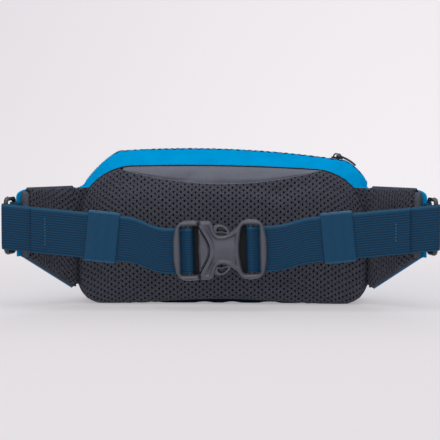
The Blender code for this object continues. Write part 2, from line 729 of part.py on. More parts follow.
def build_key_hook(frame):
    """A ring for keys, hung in a folded webbing tether from the top of the back wall."""
    y = LINING_INSET + 0.0055
    loop = KEY_RING_RADIUS + LOOP_CLEARANCE + LINING / 2
    path = [(y - loop, KEY_TETHER_TOP), (y - loop, 0.090)]
    path += arc((y, KEY_BAR_HEIGHT), loop, 180, 360, 6)
    path += [(y + loop, 0.090), (y + loop, KEY_TETHER_TOP - 0.004)]
    half = KEY_TETHER_WIDTH / 2
    rows = [[Vector((KEY_X + s * half, py, pz)) for s in (-1, 1)] for py, pz in path]
    sheet("key_tether", rows, "webbing", frame, LINING, offset=0.0)
    width, height = KEY_RING_SIZE
    centre = KEY_BAR_HEIGHT - height / 2
    ring = [(KEY_X + x, y, centre + z) for x, z in rounded_rectangle(width, height, 0.0032, 3)]
    tube("key_hook", ring, KEY_RING_RADIUS, "grey_plastic", frame, cyclic=True)


# ================================================================ back panel
def back_y(x, z, bulge, half_width=HALF_WIDTH, margin=0.0):
    """Depth of the padded back's surface at a point, on an outline inset by margin."""
    low = bottom_height(x, 0.0) + margin
    high = top_height(x, 0.0) - margin
    t = min(max((z - low) / max(high - low, 1e-6), 0.0), 1.0)
    across = math.sqrt(max(1 - (abs(x) / half_width) ** 6, 0.0))
    return -bulge * math.sqrt(max(1 - abs(2 * t - 1) ** 4, 0.0)) * across


def scoop_height(x):
    """Height of the mesh's top edge."""
    edge = SCOOP_LOW + SCOOP_RISE * (x / SCOOP_HALF_WIDTH) ** 2
    return min(edge, top_height(x, 0.0)) if abs(x) < SCOOP_HALF_WIDTH else top_height(x, 0.0)


def build_back(frame):
    """The mesh cover, the smooth scoop panel above it and the foam behind them."""
    columns = [HALF_WIDTH * math.sin(math.pi / 2 * i / 11) for i in range(-11, 12)]
    rows = []
    for s in cosine_steps(11):
        row = []
        for x in columns:
            low = bottom_height(x, 0.0)
            z = low + (scoop_height(x) - SEAM_GAP / 2 - low) * s
            row.append(Vector((x, back_y(x, z, PAD_BULGE), z)))
        rows.append(row)
    sheet("back_panel_cover", rows, "mesh", frame, MESH_THICKNESS)
    rows = []
    for s in (0.0, 0.3, 0.6, 0.85, 1.0):
        row = []
        for x in [(SCOOP_HALF_WIDTH - SCOOP_END_INSET) * u / 10 for u in range(-10, 11)]:
            low = scoop_height(x) + SEAM_GAP
            z = low + (top_height(x, 0.0) - low) * s
            row.append(Vector((x, back_y(x, z, PAD_BULGE), z)))
        rows.append(row)
    sheet("scoop_panel", rows, "woven_grey", frame, MESH_THICKNESS)
    build_foam(frame)


def build_foam(frame):
    """The foam that fills the back pad."""
    margin = MESH_THICKNESS + FOAM_CLEARANCE
    half = HALF_WIDTH - margin - 0.006
    bulge = PAD_BULGE - margin - 0.0006
    front = []
    back = []
    for s in cosine_steps(9):
        front_row = []
        back_row = []
        for x in [half * math.sin(math.pi / 2 * i / 9) for i in range(-9, 10)]:
            low = bottom_height(x, 0.0) + margin + 0.002
            high = top_height(x, 0.0) - margin - 0.006
            z = low + (high - low) * s
            y = back_y(x, z, bulge, half, margin + 0.002)
            front_row.append(Vector((x, min(y, -margin) - 0.0004, z)))
            back_row.append(Vector((x, FOAM_BACK_Y, z)))
        front.append(front_row)
        back.append(back_row)
    closed_pad("back_panel_foam", front, back, "foam", frame)


# ================================================================ wings
def wing_point(side, along, out, z):
    """A point of a wing, from its length along, its distance outward and its height."""
    direction = (Vector(WING_END) - Vector(WING_ROOT)).normalized()
    outward = Vector((-direction.y, direction.x))
    flat = Vector(WING_ROOT) + direction * along + outward * out
    return Vector((side * flat.x, flat.y, z))


def wing_low(along):
    """Height of the wing's lower edge."""
    t = min(along / WING_LENGTH, 1.1)
    return WING_ROOT_LOW + (WING_END_LOW - WING_ROOT_LOW) * t


def wing_rows(side, start, end, out, steps=6, inset=0.0):
    """A grid over a wing's face."""
    rows = []
    for i in range(steps + 1):
        along = start + (end - start) * i / steps
        low = wing_low(along) + inset
        high = WING_TOP - inset
        rows.append([wing_point(side, along, out, low + (high - low) * j / 6) for j in range(7)])
    return rows if side < 0 else rows[::-1]


def build_wing(side, tag, frame):
    """One hip wing: mesh face, foam, outer shell, rolled hem, ring anchor and ring."""
    carrier = add_empty("wing_frame_" + tag, wing_point(side, 0.0, 0.0, 0.0), frame)
    pivot = carrier.location
    inner = -(WING_FOAM / 2 + GAP)
    outer = WING_FOAM / 2 + GAP
    sheet("wing_mesh_" + tag, wing_rows(side, 0.0, WING_LENGTH, inner), "mesh", carrier,
          WING_SHEET, offset=1.0, pivot=pivot)
    sheet("wing_foam_" + tag, wing_rows(side, 0.002, WING_LENGTH - 0.002, 0.0, 3, 0.002), "foam", carrier,
          WING_FOAM, offset=0.0, pivot=pivot)
    sheet("wing_shell_" + tag, wing_rows(side, 0.0, WING_LENGTH + SHELL_OVERHANG, outer), "bright_blue",
          carrier, WING_SHEET, offset=-1.0, pivot=pivot)
    hem_start = WING_LENGTH + SEAM_GAP
    hem_rows = []
    for j in range(5):
        z = WING_END_LOW + 0.001 + (WING_TOP - WING_END_LOW - 0.001) * j / 4
        hem_rows.append([wing_point(side, hem_start + HEM_WIDTH * s, 0.0, z) for s in (0.0, 0.5, 1.0)])
    hem = sheet("wing_hem_" + tag, hem_rows if side > 0 else [row[::-1] for row in hem_rows], "woven_grey",
                carrier, WING_FOAM, offset=0.0, pivot=pivot)
    soften(hem, 0.0018)
    build_anchor(side, tag, carrier, pivot, outer + WING_SHEET)
    build_ring(side, tag, carrier, pivot)


def build_anchor(side, tag, carrier, pivot, face):
    """Webbing sewn on the outer shell and wrapped round the ring's inner bar."""
    centre = (RING_INNER_ALONG, RING_INNER_OUT)
    out = face + GAP + ANCHOR / 2
    path = [(ANCHOR_START, out), (RING_INNER_ALONG * 0.55, out), (RING_INNER_ALONG - 0.006, out)]
    path += arc(centre, ANCHOR_LOOP, 75, -90, 8)
    path += [(RING_INNER_ALONG - 0.0045, RING_INNER_OUT - ANCHOR_LOOP + 0.0004)]
    half = WEBBING_WIDTH / 2
    rows = [[wing_point(side, a, o, RING_Z + s * half) for s in (-1, 0, 1)] for a, o in path]
    sheet("wing_anchor_" + tag, rows, "webbing", carrier, ANCHOR, offset=0.0, pivot=pivot)


def ring_inner(side):
    """The ring's inner bar in plan."""
    point = wing_point(side, RING_INNER_ALONG, RING_INNER_OUT, RING_Z)
    return Vector((point.x, point.y))


def build_ring(side, tag, carrier, pivot):
    """A two-bar ring, upright between the wing's anchor and the strap's loop."""
    inner = ring_inner(side)
    outer = Vector((side * RING_OUTER_X, BELT_Y))
    across = outer - inner
    middle = (inner + outer) / 2
    direction = across.normalized()
    outline = rounded_rectangle(across.length, RING_HEIGHT, RING_CORNER, 3)
    points = [Vector((*(middle + direction * u), RING_Z + v)) for u, v in outline]
    tube("ring_" + tag, relative_to(points, pivot), RING_BAR, "grey_plastic", carrier, cyclic=True)


# ================================================================ belt
def belt_height(x):
    """Height of the webbing's middle: level at the buckle, climbing to the rings."""
    line = RING_Z - 0.0007 - BELT_SLOPE * (RING_OUTER_X - abs(x))
    blend = ease(abs(x), 0.042, 0.076)
    return BUCKLE_HEIGHT + (line - BUCKLE_HEIGHT) * blend


def strap_path():
    """The webbing's middle in plan: tail, round the buckle's bar, back and round the ring's bar."""
    run = BELT_Y - 0.0005
    end = RING_OUTER_X
    path = [(TAIL_END_X, run - LAYER_PITCH - 0.0018), (end - 0.0385, run - LAYER_PITCH - 0.0006),
            (end - 0.0525, run - LAYER_PITCH), (KEEPER_X, run - LAYER_PITCH), (0.070, run - LAYER_PITCH),
            (0.056, run - LAYER_PITCH + 0.0012), (0.045, BELT_Y - 0.0006), (0.037, BELT_Y - 0.0003),
            (0.0325, BELT_Y - 0.0006)]
    path += arc((BAR_X, BELT_Y), BAR_LOOP, -60, -295, 9)
    path += [(0.0325, BELT_Y + 0.0018), (0.037, BELT_Y + 0.0018), (0.045, BELT_Y + 0.0016),
             (0.056, BELT_Y + 0.0008), (0.070, run), (KEEPER_X, run), (end - 0.0525, run),
             (end - 0.0385, run - 0.0006), (TAIL_END_X, run - 0.0018),
             (end - 0.0105, BELT_Y - RING_LOOP + 0.0003)]
    path += arc((end, BELT_Y), RING_LOOP, -100, 90, 8)
    path += [(end - 0.0050, BELT_Y + 0.0026), (end - 0.0105, run + 0.0004), (end - 0.0185, run + 0.0003)]
    return path


def build_strap(side, tag, frame):
    """One side of the belt, a single length of webbing in two layers."""
    half = WEBBING_WIDTH / 2
    rows = []
    for x, y in strap_path():
        z = belt_height(x)
        rows.append([tilt_with_buckle(side * x, y, z + s * half) for s in (-1, 1)])
    sheet("strap_" + tag, rows, "webbing", frame, WEBBING, offset=0.0)


def tilt_with_buckle(x, y, z):
    """A point of the webbing, turned with the buckle where it is close to it."""
    angle = -BUCKLE_TILT * (1 - ease(abs(x), 0.042, 0.076))
    rise = z - BUCKLE_HEIGHT
    turned_x = x * math.cos(angle) + rise * math.sin(angle)
    turned_z = BUCKLE_HEIGHT - x * math.sin(angle) + rise * math.cos(angle)
    return Vector((turned_x, y, turned_z))


def build_keeper(side, tag, frame):
    """An elastic loop round both layers of webbing."""
    middle_y = BELT_Y - 0.0005 - LAYER_PITCH / 2
    tilt = -side * math.atan(BELT_SLOPE)
    place = (side * KEEPER_X, middle_y, belt_height(KEEPER_X))
    carrier = add_empty("keeper_frame_" + tag, place, frame, turn_y=tilt)
    depth = LAYER_PITCH + WEBBING + 2 * (KEEPER_PLAY + KEEPER_WALL)
    rise = KEEPER_WIDTH / 2 * BELT_SLOPE
    height = WEBBING_WIDTH + 2 * (KEEPER_PLAY + KEEPER_WALL) + rise
    outline = rounded_rectangle(depth, height, 0.0020, 3)
    rows = [[Vector((s * KEEPER_WIDTH / 2, y, z)) for s in (-1, 0, 1)] for y, z in outline]
    sheet("keeper_" + tag, rows, "webbing", carrier, KEEPER_WALL, offset=-1.0, cyclic=True)


# ================================================================ buckle
def mirrored(half):
    """A closed outline from its upper half, whose first and last points lie at z = 0."""
    return half + [(x, -z) for x, z in reversed(half[1:-1])]


def seam_curve(shift):
    """The curved joint between the two halves, from the top down to mid height."""
    span = NOSE_X - SEAM_EDGE_X
    points = []
    for i in range(7):
        share = i / 6
        z = MOUTH_INNER * (1 - share)
        x = SEAM_EDGE_X + span * math.cos(math.pi / 2 * (1 - share)) ** 1.3
        points.append((x + shift, z))
    return points


def female_outline():
    """Hourglass housing, from mid height at the mouth round its upper half."""
    shell = [(0.0388, 0.0), (0.0386, 0.0100), (0.0362, 0.0195), (0.0305, 0.0242), (0.0225, 0.0248),
             (0.0165, 0.0212), (0.0110, 0.0155), (0.0055, 0.0128), (-0.0005, 0.0128), (-0.0035, 0.0158),
             (-0.0052, 0.0205), (-0.0085, 0.0238), (-0.0160, 0.0240)]
    upper = smooth_through(shell, 3)
    mouth = [(x, z) for x, z in seam_curve(BUCKLE_GAP)]
    return mirrored(upper + mouth)


def male_outline():
    """Frame and nose of the male half."""
    frame = [(-0.0390, 0.0), (-0.0387, 0.0100), (-0.0366, 0.0190), (-0.0318, 0.0240), (-0.0240, 0.0248),
             (-0.0182, 0.0242)]
    return mirrored(smooth_through(frame, 3) + seam_curve(0.0))


def add_ladder(item, name, side, carrier):
    """Cut the webbing slot at one end, thin the end bar and add the adjuster bar."""
    middle = side * (SLOT_INNER_X + SLOT_OUTER_X) / 2
    slot_size = (SLOT_OUTER_X - SLOT_INNER_X, 3 * BUCKLE_THICKNESS, 2 * SLOT_HALF_HEIGHT)
    combine(item, block(name + "_slot", slot_size, (middle, 0, 0), carrier), "DIFFERENCE")
    relief_x = side * (SLOT_OUTER_X + 0.0045)
    relief = block(name + "_relief", (0.0110, BUCKLE_THICKNESS, 2 * SLOT_HALF_HEIGHT),
                   (relief_x, BUCKLE_THICKNESS / 2 - 0.0016, 0), carrier)
    combine(item, relief, "DIFFERENCE")
    half = SLOT_HALF_HEIGHT + 0.0015
    bar = tube(name + "_bar", [(side * BAR_X, 0, -half), (side * BAR_X, 0, half)], BAR_RADIUS,
               "grey_plastic", carrier)
    combine(item, to_mesh_object(bar), "UNION")


def build_buckle(frame):
    """Side-release buckle: the male half and its prongs on the left, the female on the right."""
    carrier = add_empty("buckle_frame", (0.0, BELT_Y, BUCKLE_HEIGHT), frame, turn_y=-BUCKLE_TILT)
    female = plate("buckle_female", [female_outline()], BUCKLE_THICKNESS, "grey_plastic", carrier, 0.0012)
    reach = CHANNEL_END_X - SEAM_EDGE_X + 0.004
    channel = block("female_channel", (reach, CHANNEL_DEPTH, 2 * MOUTH_INNER),
                    (CHANNEL_END_X - reach / 2, 0, 0), carrier)
    combine(female, channel, "DIFFERENCE")
    add_ladder(female, "female", 1, carrier)
    male = plate("buckle_male", [male_outline()], BUCKLE_THICKNESS, "grey_plastic", carrier, 0.0012)
    tongue = block("male_tongue", (0.016, PRONG_THICKNESS, 0.008), (NOSE_X + 0.0055, 0, 0), carrier)
    combine(male, tongue, "UNION")
    add_ladder(male, "male", -1, carrier)
    build_prongs(carrier)


def build_prongs(carrier):
    """The two sprung arms, each with its origin on its flexing root."""
    px, pz = PRONG_PIVOT
    arm = [(-0.0115, 0.0113), (-0.0120, 0.0155), (-0.0065, 0.0172), (-0.0046, 0.0203), (0.0020, 0.0203),
           (0.0075, 0.0168), (0.0095, 0.0128), (0.0075, 0.0118), (0.0010, 0.0142), (-0.0050, 0.0125)]
    for name, side in (("prong_upper", 1), ("prong_lower", -1)):
        outline = [(x - px, side * (z - pz)) for x, z in arm]
        if side < 0:
            outline.reverse()
        prong = plate(name, [outline], PRONG_THICKNESS, "grey_plastic", carrier, 0.0006)
        prong.location = (px, 0.0, side * pz)


# ================================================================ assembly
def build_all():
    """Build every piece in the panel frame."""
    frame = add_empty("panel_frame", (0.0, FRAME_Y, 0.0))
    fold_frame = add_empty("fold_frame", fold_pivot(), frame)
    build_back(frame)
    build_gussets(frame)
    build_front(frame, fold_frame)
    build_front_pocket(frame)
    build_main_zip(frame, fold_frame)
    build_main_slider(frame)
    build_inside(frame)
    for side, tag in ((-1, "left"), (1, "right")):
        build_wing(side, tag, frame)
        build_strap(side, tag, frame)
        build_keeper(side, tag, frame)
    build_buckle(frame)


clear_scene()
PART = make_collection("waist_pack")
TOOLS = make_collection("cutters")
build_all()
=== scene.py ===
import math

import bpy
import numpy as np
from mathutils import Matrix, Vector
from mathutils.bvhtree import BVHTree


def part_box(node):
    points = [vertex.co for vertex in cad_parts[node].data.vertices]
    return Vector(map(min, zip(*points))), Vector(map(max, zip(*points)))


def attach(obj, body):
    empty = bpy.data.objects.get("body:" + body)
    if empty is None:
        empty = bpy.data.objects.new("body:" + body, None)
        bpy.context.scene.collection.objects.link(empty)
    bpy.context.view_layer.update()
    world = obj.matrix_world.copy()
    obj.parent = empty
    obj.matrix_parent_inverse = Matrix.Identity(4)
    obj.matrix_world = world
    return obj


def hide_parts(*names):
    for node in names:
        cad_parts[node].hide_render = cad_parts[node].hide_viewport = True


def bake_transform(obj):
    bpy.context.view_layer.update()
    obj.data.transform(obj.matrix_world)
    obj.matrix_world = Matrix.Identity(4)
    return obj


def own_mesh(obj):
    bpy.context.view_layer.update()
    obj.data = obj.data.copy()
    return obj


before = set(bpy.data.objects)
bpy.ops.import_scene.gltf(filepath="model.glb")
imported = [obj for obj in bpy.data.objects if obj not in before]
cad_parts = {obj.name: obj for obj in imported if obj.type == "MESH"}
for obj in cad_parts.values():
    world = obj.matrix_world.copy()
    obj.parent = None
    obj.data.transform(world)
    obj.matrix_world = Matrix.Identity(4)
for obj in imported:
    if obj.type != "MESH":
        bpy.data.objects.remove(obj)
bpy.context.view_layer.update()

# ---------------------------------------------------------------- sizes shared with the frame, metres
HALF_WIDTH = 0.126
BACK_TOP = 0.1195
ZIP_TOP = 0.133
PEAK_X = -0.030
ZIP_ARC_RADIUS = 0.900
BACK_CROWN = 0.5
BACK_SHOULDER = 0.050
LEFT_SHOULDER = 0.034
RIGHT_SHOULDER = 0.020
BOTTOM_CORNER = 0.022
SHOULDER_SAG_LEFT = 1.25    # 2 is a round shoulder and 1 a straight one: the cloth hangs slack there
SHOULDER_SAG_RIGHT = 1.35
BASE_LIFT = 0.004
BASE_START = 0.006
SPLIT_HEIGHT = 0.100
GUSSET_DEPTH = 0.033        # back seam to the rear zip tape
BODY_DEPTH = 0.045
FRONT_SEAM_GAP = 0.0011
PAD_BULGE = 0.016
SCOOP_LOW = 0.104
SCOOP_RISE = 0.0125
SCOOP_HALF = 0.088
FRONT_BULGE = 0.009
FRONT_FLAT_HALF = 0.080
FOLD_HEIGHT = 0.098
COIL_REAR_Y = 0.0385
COIL_FRONT_Y = 0.0413
COIL_GAP = 0.0006            # from a tape's edge to the middle of its coil
POCKET_HALF = 0.092
POCKET_LOW = 0.010
POCKET_TOP = 0.066
POCKET_BULGE = 0.0065
POCKET_MOUTH_SHARE = 0.75
WEBBING_WIDTH = 0.038
WEBBING = 0.0015
LAYER_PITCH = 0.0021
BELT_Y = -0.060
BELT_SLOPE = 0.10
BUCKLE_HEIGHT = 0.052
BUCKLE_TILT = math.radians(1.6)
BAR_X = 0.026
BAR_LOOP = 0.00335
BUCKLE_HALF = 0.0060         # half the buckle's thickness
RAIL_ROUND = 0.0026
RING_OUTER_X = 0.1785
RING_LOOP = 0.00315
RING_Z = 0.0715
TAIL_END_X = 0.157
KEEPER_X = 0.098
KEEPER_WIDTH = 0.026
KEEPER_ROOM = 0.0005 + 0.001    # gap round the webbing, and the elastic
RUN_Y = BELT_Y - 0.0005
ROLL_EDGE = 0.0335              # the left webbing is cut here, so that its roll goes with the male half
WING_ROOT = (0.1285, -0.0050)
WING_DIRECTION = Vector((0.0395, -0.0373)).normalized()
WING_LENGTH = 0.048
WING_TOP = 0.101
WING_ROOT_LOW = 0.015
WING_END_LOW = 0.043
SHELL_OVERHANG = 0.009
HEM_DEPTH = 0.0034
RING_INNER_ALONG = 0.0605
RING_INNER_OUT = 0.0024
ANCHOR_LOOP = 0.0030

FRAME_Y = (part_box("buckle_female")[0].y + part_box("buckle_female")[1].y) / 2 - BELT_Y
HOLE_ACROSS = 0.00317       # the spacer mesh: columns of holes, and holes along a column
HOLE_ALONG = 0.00504
HOLE_HALF_ACROSS = 0.00074
HOLE_HALF_ALONG = 0.00102
PIT_WALL = (0.45, 1.25)     # where a pit's wall starts and ends, in half holes
PAD_PIT = 0.0011
WING_PIT = 0.0009
PAD_VOXEL = 0.005           # the pad's cloth simulation
PAD_PRESSURE = 4.0
PAD_CAP = 0.005
SEAM_MARGIN = 0.12          # share of a gusset that its seam holds flat
TOP_FOLDS = (               # creases of the top gusset: from and to (share along, depth), width and height
    ((0.80, 0.004), (0.99, 0.030), 0.008, 0.0009),
    ((0.70, 0.026), (0.90, 0.010), 0.006, -0.0008),
    ((-0.84, 0.004), (-0.99, 0.028), 0.008, 0.0008),
    ((-0.45, 0.006), (-0.30, 0.030), 0.005, -0.0008),
    ((0.05, 0.005), (0.18, 0.024), 0.006, 0.0008),
    ((0.42, 0.004), (0.50, 0.026), 0.005, -0.0009),
)
PULL_EYE_END = 24           # of the pull's 60 steps, the first ones are an open eye


# ================================================================ small helpers
def srgb(red, green, blue):
    """A linear colour from screen values."""
    values = []
    for value in (red, green, blue):
        share = value / 255
        values.append(share / 12.92 if share <= 0.04045 else ((share + 0.055) / 1.055) ** 2.4)
    return (*values, 1.0)


def clamp01(values):
    """Values held between 0 and 1."""
    return np.clip(values, 0.0, 1.0)


def ease(values, low, high):
    """0 below low, 1 above high and smooth between."""
    t = clamp01((np.asarray(values, float) - low) / (high - low))
    return t * t * (3 - 2 * t)


def squared(values, power):
    """A sine or cosine made squarer, with its sign kept."""
    return np.sign(values) * np.abs(values) ** power


def ripples(u, v, size, seed, waves=6):
    """Soft uneven undulations between about -1 and 1, the same each run."""
    draw = np.random.default_rng(seed)
    total = 0.0
    for _ in range(waves):
        angle = draw.uniform(0, math.pi)
        phase = draw.uniform(0, 2 * math.pi)
        length = size * draw.uniform(0.6, 1.7)
        along = (u * math.cos(angle) + v * math.sin(angle)) / length
        across = (v * math.cos(angle) - u * math.sin(angle)) / (2.3 * length)
        total = total + np.sin(2 * math.pi * along + phase + 1.4 * np.sin(2 * math.pi * across + phase))
    return total / math.sqrt(waves) / 1.3


def fold(u, v, start, end, width, height):
    """One soft crease between two points, fading at its ends."""
    ax, ay = start
    bx, by = end
    length = math.hypot(bx - ax, by - ay)
    dx, dy = (bx - ax) / length, (by - ay) / length
    along = ((u - ax) * dx + (v - ay) * dy) / length
    across = ((u - ax) * dy - (v - ay) * dx) / width
    fade = ease(along, -0.25, 0.25) * (1 - ease(along, 0.75, 1.25))
    return height * fade * np.exp(-across ** 2)


# ================================================================ the bag's outline
def mix(y, back, zip_line):
    """A size at depth y, between its value at the back seam and at the zip."""
    return back + (zip_line - back) * np.sin(clamp01(y / GUSSET_DEPTH) * math.pi / 2)


def top_line(x, y):
    """Height of the crowned top, before its shoulders."""
    return mix(y, BACK_TOP, ZIP_TOP) - mix(y, BACK_CROWN, 1.0) * (x - PEAK_X) ** 2 / (2 * ZIP_ARC_RADIUS)


def top_height(x, y):
    """Height of the outline's top edge above x, shoulders included."""
    x = np.asarray(x, float)
    y = np.asarray(y, float)
    radius = mix(y, BACK_SHOULDER, np.where(x > 0, RIGHT_SHOULDER, LEFT_SHOULDER))
    start = HALF_WIDTH - radius
    reach = np.clip(np.abs(x) - start, 0.0, radius) / radius
    fullness = mix(y, 2.0, np.where(x > 0, SHOULDER_SAG_RIGHT, SHOULDER_SAG_LEFT))
    corner = top_line(np.sign(x) * start, y) - radius
    corner = corner + radius * np.maximum(1 - reach ** fullness, 0.0) ** (1 / fullness)
    return np.where(np.abs(x) <= start, top_line(x, y), corner)


def bottom_height(x, y):
    """Height of the outline's bottom edge below x, corners included."""
    x = np.asarray(x, float)
    arch = np.cos(math.pi * np.minimum(np.abs(x) / 0.2, 0.5)) ** 2
    lift = BASE_LIFT * np.maximum(0.0, 1 - np.asarray(y, float) / BASE_START) * arch
    reach = np.clip(np.abs(x) - (HALF_WIDTH - BOTTOM_CORNER), 0.0, BOTTOM_CORNER)
    return lift + BOTTOM_CORNER - np.sqrt(BOTTOM_CORNER ** 2 - reach ** 2)


def scoop_height(x):
    """Height of the mesh's top edge."""
    edge = SCOOP_LOW + SCOOP_RISE * (x / SCOOP_HALF) ** 2
    top = top_height(x, 0.0)
    return np.where(np.abs(x) < SCOOP_HALF, np.minimum(edge, top), top)


def front_y(x, z):
    """Depth of the front's outer face at a point."""
    low = bottom_height(x, BODY_DEPTH)
    high = top_height(x, BODY_DEPTH)
    t = clamp01((z - low) / np.maximum(high - low, 1e-6))
    past = np.maximum(np.abs(x) - FRONT_FLAT_HALF, 0.0) / (HALF_WIDTH - FRONT_FLAT_HALF)
    across = np.sqrt(np.maximum(1 - past ** 2, 0.0))
    rise = np.sqrt(np.maximum(1 - np.abs(2 * t - 1) ** 4, 0.0))
    return BODY_DEPTH + FRONT_SEAM_GAP + FRONT_BULGE * rise * across


def back_y(x, z):
    """Depth of the padded back's surface at a point."""
    low = bottom_height(x, 0.0)
    high = top_height(x, 0.0)
    t = clamp01((z - low) / np.maximum(high - low, 1e-6))
    across = np.sqrt(np.maximum(1 - (np.abs(x) / HALF_WIDTH) ** 6, 0.0))
    return -PAD_BULGE * np.sqrt(np.maximum(1 - np.abs(2 * t - 1) ** 4, 0.0)) * across


def resample(points, count):
    """A polyline's points spread evenly along its length."""
    points = np.asarray(points, float)
    steps = np.linalg.norm(np.diff(points, axis=0), axis=1)
    length = np.concatenate(([0.0], np.cumsum(steps)))
    wanted = np.linspace(0.0, length[-1], count)
    return np.stack([np.interp(wanted, length, points[:, k]) for k in range(points.shape[1])], axis=1)


def outline(y, upper, count, inset=0.0):
    """Evenly spaced points of the outline at depth y, above or below the split height."""
    x = HALF_WIDTH * np.sin(np.linspace(-math.pi / 2, math.pi / 2, 401))
    z = top_height(x, y) if upper else bottom_height(x, y)
    x = np.concatenate(([-HALF_WIDTH], x, [HALF_WIDTH]))
    z = np.concatenate(([SPLIT_HEIGHT], z, [SPLIT_HEIGHT]))
    if upper:
        keep = z >= SPLIT_HEIGHT
        x, z = x[keep], z[keep]
    path = resample(xyz(x, y, z), count)
    return path - inset * outline_normals(path) if inset else path


def outline_normals(path):
    """Outward normals of an outline in its own XZ plane."""
    tangent = np.gradient(path, axis=0)
    normal = np.stack([-tangent[:, 2], np.zeros(len(path)), tangent[:, 0]], axis=1)
    normal /= np.maximum(np.linalg.norm(normal, axis=1, keepdims=True), 1e-12)
    middle = np.array([0.0, 0.0, 0.06])
    sign = np.sign(np.sum(normal * (path - middle), axis=1))
    return normal * np.where(sign == 0, 1, sign)[:, None]


# ================================================================ mesh helpers
def xyz(x, y, z):
    """Points from three arrays or numbers whose shapes match."""
    return np.stack(np.broadcast_arrays(x, y, z), axis=-1)


def lengths_over(grid, axis):
    """Lengths over a grid of points, from its first row or column."""
    steps = np.linalg.norm(np.diff(grid, axis=axis), axis=2)
    return np.cumsum(np.insert(steps, 0, 0.0, axis=axis), axis=axis)


def in_world(points):
    """Points of the panel frame, moved to the row frame."""
    return np.asarray(points, float) + np.array([0.0, FRAME_Y, 0.0])


def mesh_object(name, vertices, faces, material, smooth=True, angle=None):
    """A mesh object in the row frame, from points in the panel frame."""
    mesh = bpy.data.meshes.new(name)
    mesh.from_pydata(in_world(vertices).tolist(), [], faces)
    mesh.validate()
    mesh.update()
    item = bpy.data.objects.new(name, mesh)
    bpy.context.scene.collection.objects.link(item)
    mesh.materials.append(material)
    if smooth:
        mesh.shade_smooth()
    if angle:
        mesh.set_sharp_from_angle(angle=math.radians(angle))
    return item


def grid_normals(grid):
    """A normal at each point of a grid of points."""
    along = np.gradient(grid, axis=1)
    up = np.gradient(grid, axis=0)
    normal = np.cross(along, up)
    size = np.linalg.norm(normal, axis=2, keepdims=True)
    return normal / np.maximum(size, 1e-12)


def grid_faces(rows, columns, start=0, flip=False, around=False):
    """Quads of a grid of vertices, closed round its columns if asked."""
    faces = []
    last = columns if around else columns - 1
    for r in range(rows - 1):
        for c in range(last):
            a = start + r * columns + c
            b = start + r * columns + (c + 1) % columns
            quad = (a, b, b + columns, a + columns)
            faces.append(quad[::-1] if flip else quad)
    return faces


def two_sheets(face, back):
    """Vertices and faces of a closed body between two grids of points of the same size."""
    rows, columns = face.shape[:2]
    count = rows * columns
    vertices = np.concatenate([face.reshape(-1, 3), back.reshape(-1, 3)])
    faces = grid_faces(rows, columns) + grid_faces(rows, columns, count, flip=True)
    rim = list(range(columns)) + [r * columns + columns - 1 for r in range(1, rows)]
    rim += [(rows - 1) * columns + c for c in range(columns - 2, -1, -1)]
    rim += [r * columns for r in range(rows - 2, 0, -1)]
    faces += [(b, a, a + count, b + count) for a, b in zip(rim, rim[1:] + rim[:1])]
    return vertices, faces


def shell(name, grid, thickness, material):
    """A closed cloth shell: a grid of outer points and the same grid moved in along its normals."""
    grid = np.asarray(grid, float)
    return mesh_object(name, *two_sheets(grid, grid - thickness * grid_normals(grid)), material)


def slab(name, face, back, material):
    """A closed pad between a front grid and a back grid of the same size."""
    return cloth_map(mesh_object(name, *two_sheets(face, back), material), face)


def frames_along(points, closed=False):
    """Tangent and two steady side directions at each point of a path."""
    points = np.asarray(points, float)
    if closed:
        tangent = np.roll(points, -1, axis=0) - np.roll(points, 1, axis=0)
    else:
        tangent = np.gradient(points, axis=0)
    tangent /= np.maximum(np.linalg.norm(tangent, axis=1, keepdims=True), 1e-12)
    side = np.zeros_like(points)
    seed = np.array([0.0, 0.0, 1.0]) if abs(tangent[0][2]) < 0.9 else np.array([0.0, 1.0, 0.0])
    previous = seed
    for i, direction in enumerate(tangent):
        flat = previous - direction * np.dot(previous, direction)
        size = np.linalg.norm(flat)
        side[i] = flat / size if size > 1e-9 else previous
        previous = side[i]
    return tangent, side, np.cross(tangent, side)


def tube_parts(points, radius, sides=8, closed=False):
    """Vertices and faces of a round tube along a path, with capped ends."""
    points = np.asarray(points, float)
    _, side, other = frames_along(points, closed)
    angles = np.linspace(0, 2 * math.pi, sides, endpoint=False)
    radii = np.broadcast_to(np.asarray(radius, float), (len(points),))
    ring = (np.cos(angles)[None, :, None] * side[:, None, :]
            + np.sin(angles)[None, :, None] * other[:, None, :])
    vertices = (points[:, None, :] + radii[:, None, None] * ring).reshape(-1, 3)
    count = len(points)
    faces = grid_faces(count, sides, around=True)
    if closed:
        last = (count - 1) * sides
        faces += [(last + c, last + (c + 1) % sides, (c + 1) % sides, c) for c in range(sides)]
    else:
        faces.append(tuple(range(sides))[::-1])
        faces.append(tuple((count - 1) * sides + c for c in range(sides)))
    return vertices, faces


def tube(name, points, radius, material, sides=10, closed=False):
    """A round tube along a path."""
    vertices, faces = tube_parts(points, radius, sides, closed)
    return mesh_object(name, vertices, faces, material)


def joined(name, parts, material, angle=None):
    """One object from several lots of vertices and faces."""
    vertices = []
    faces = []
    start = 0
    for part_vertices, part_faces in parts:
        vertices.append(np.asarray(part_vertices, float))
        faces += [tuple(index + start for index in face) for face in part_faces]
        start += len(part_vertices)
    return mesh_object(name, np.concatenate(vertices), faces, material, angle=angle)


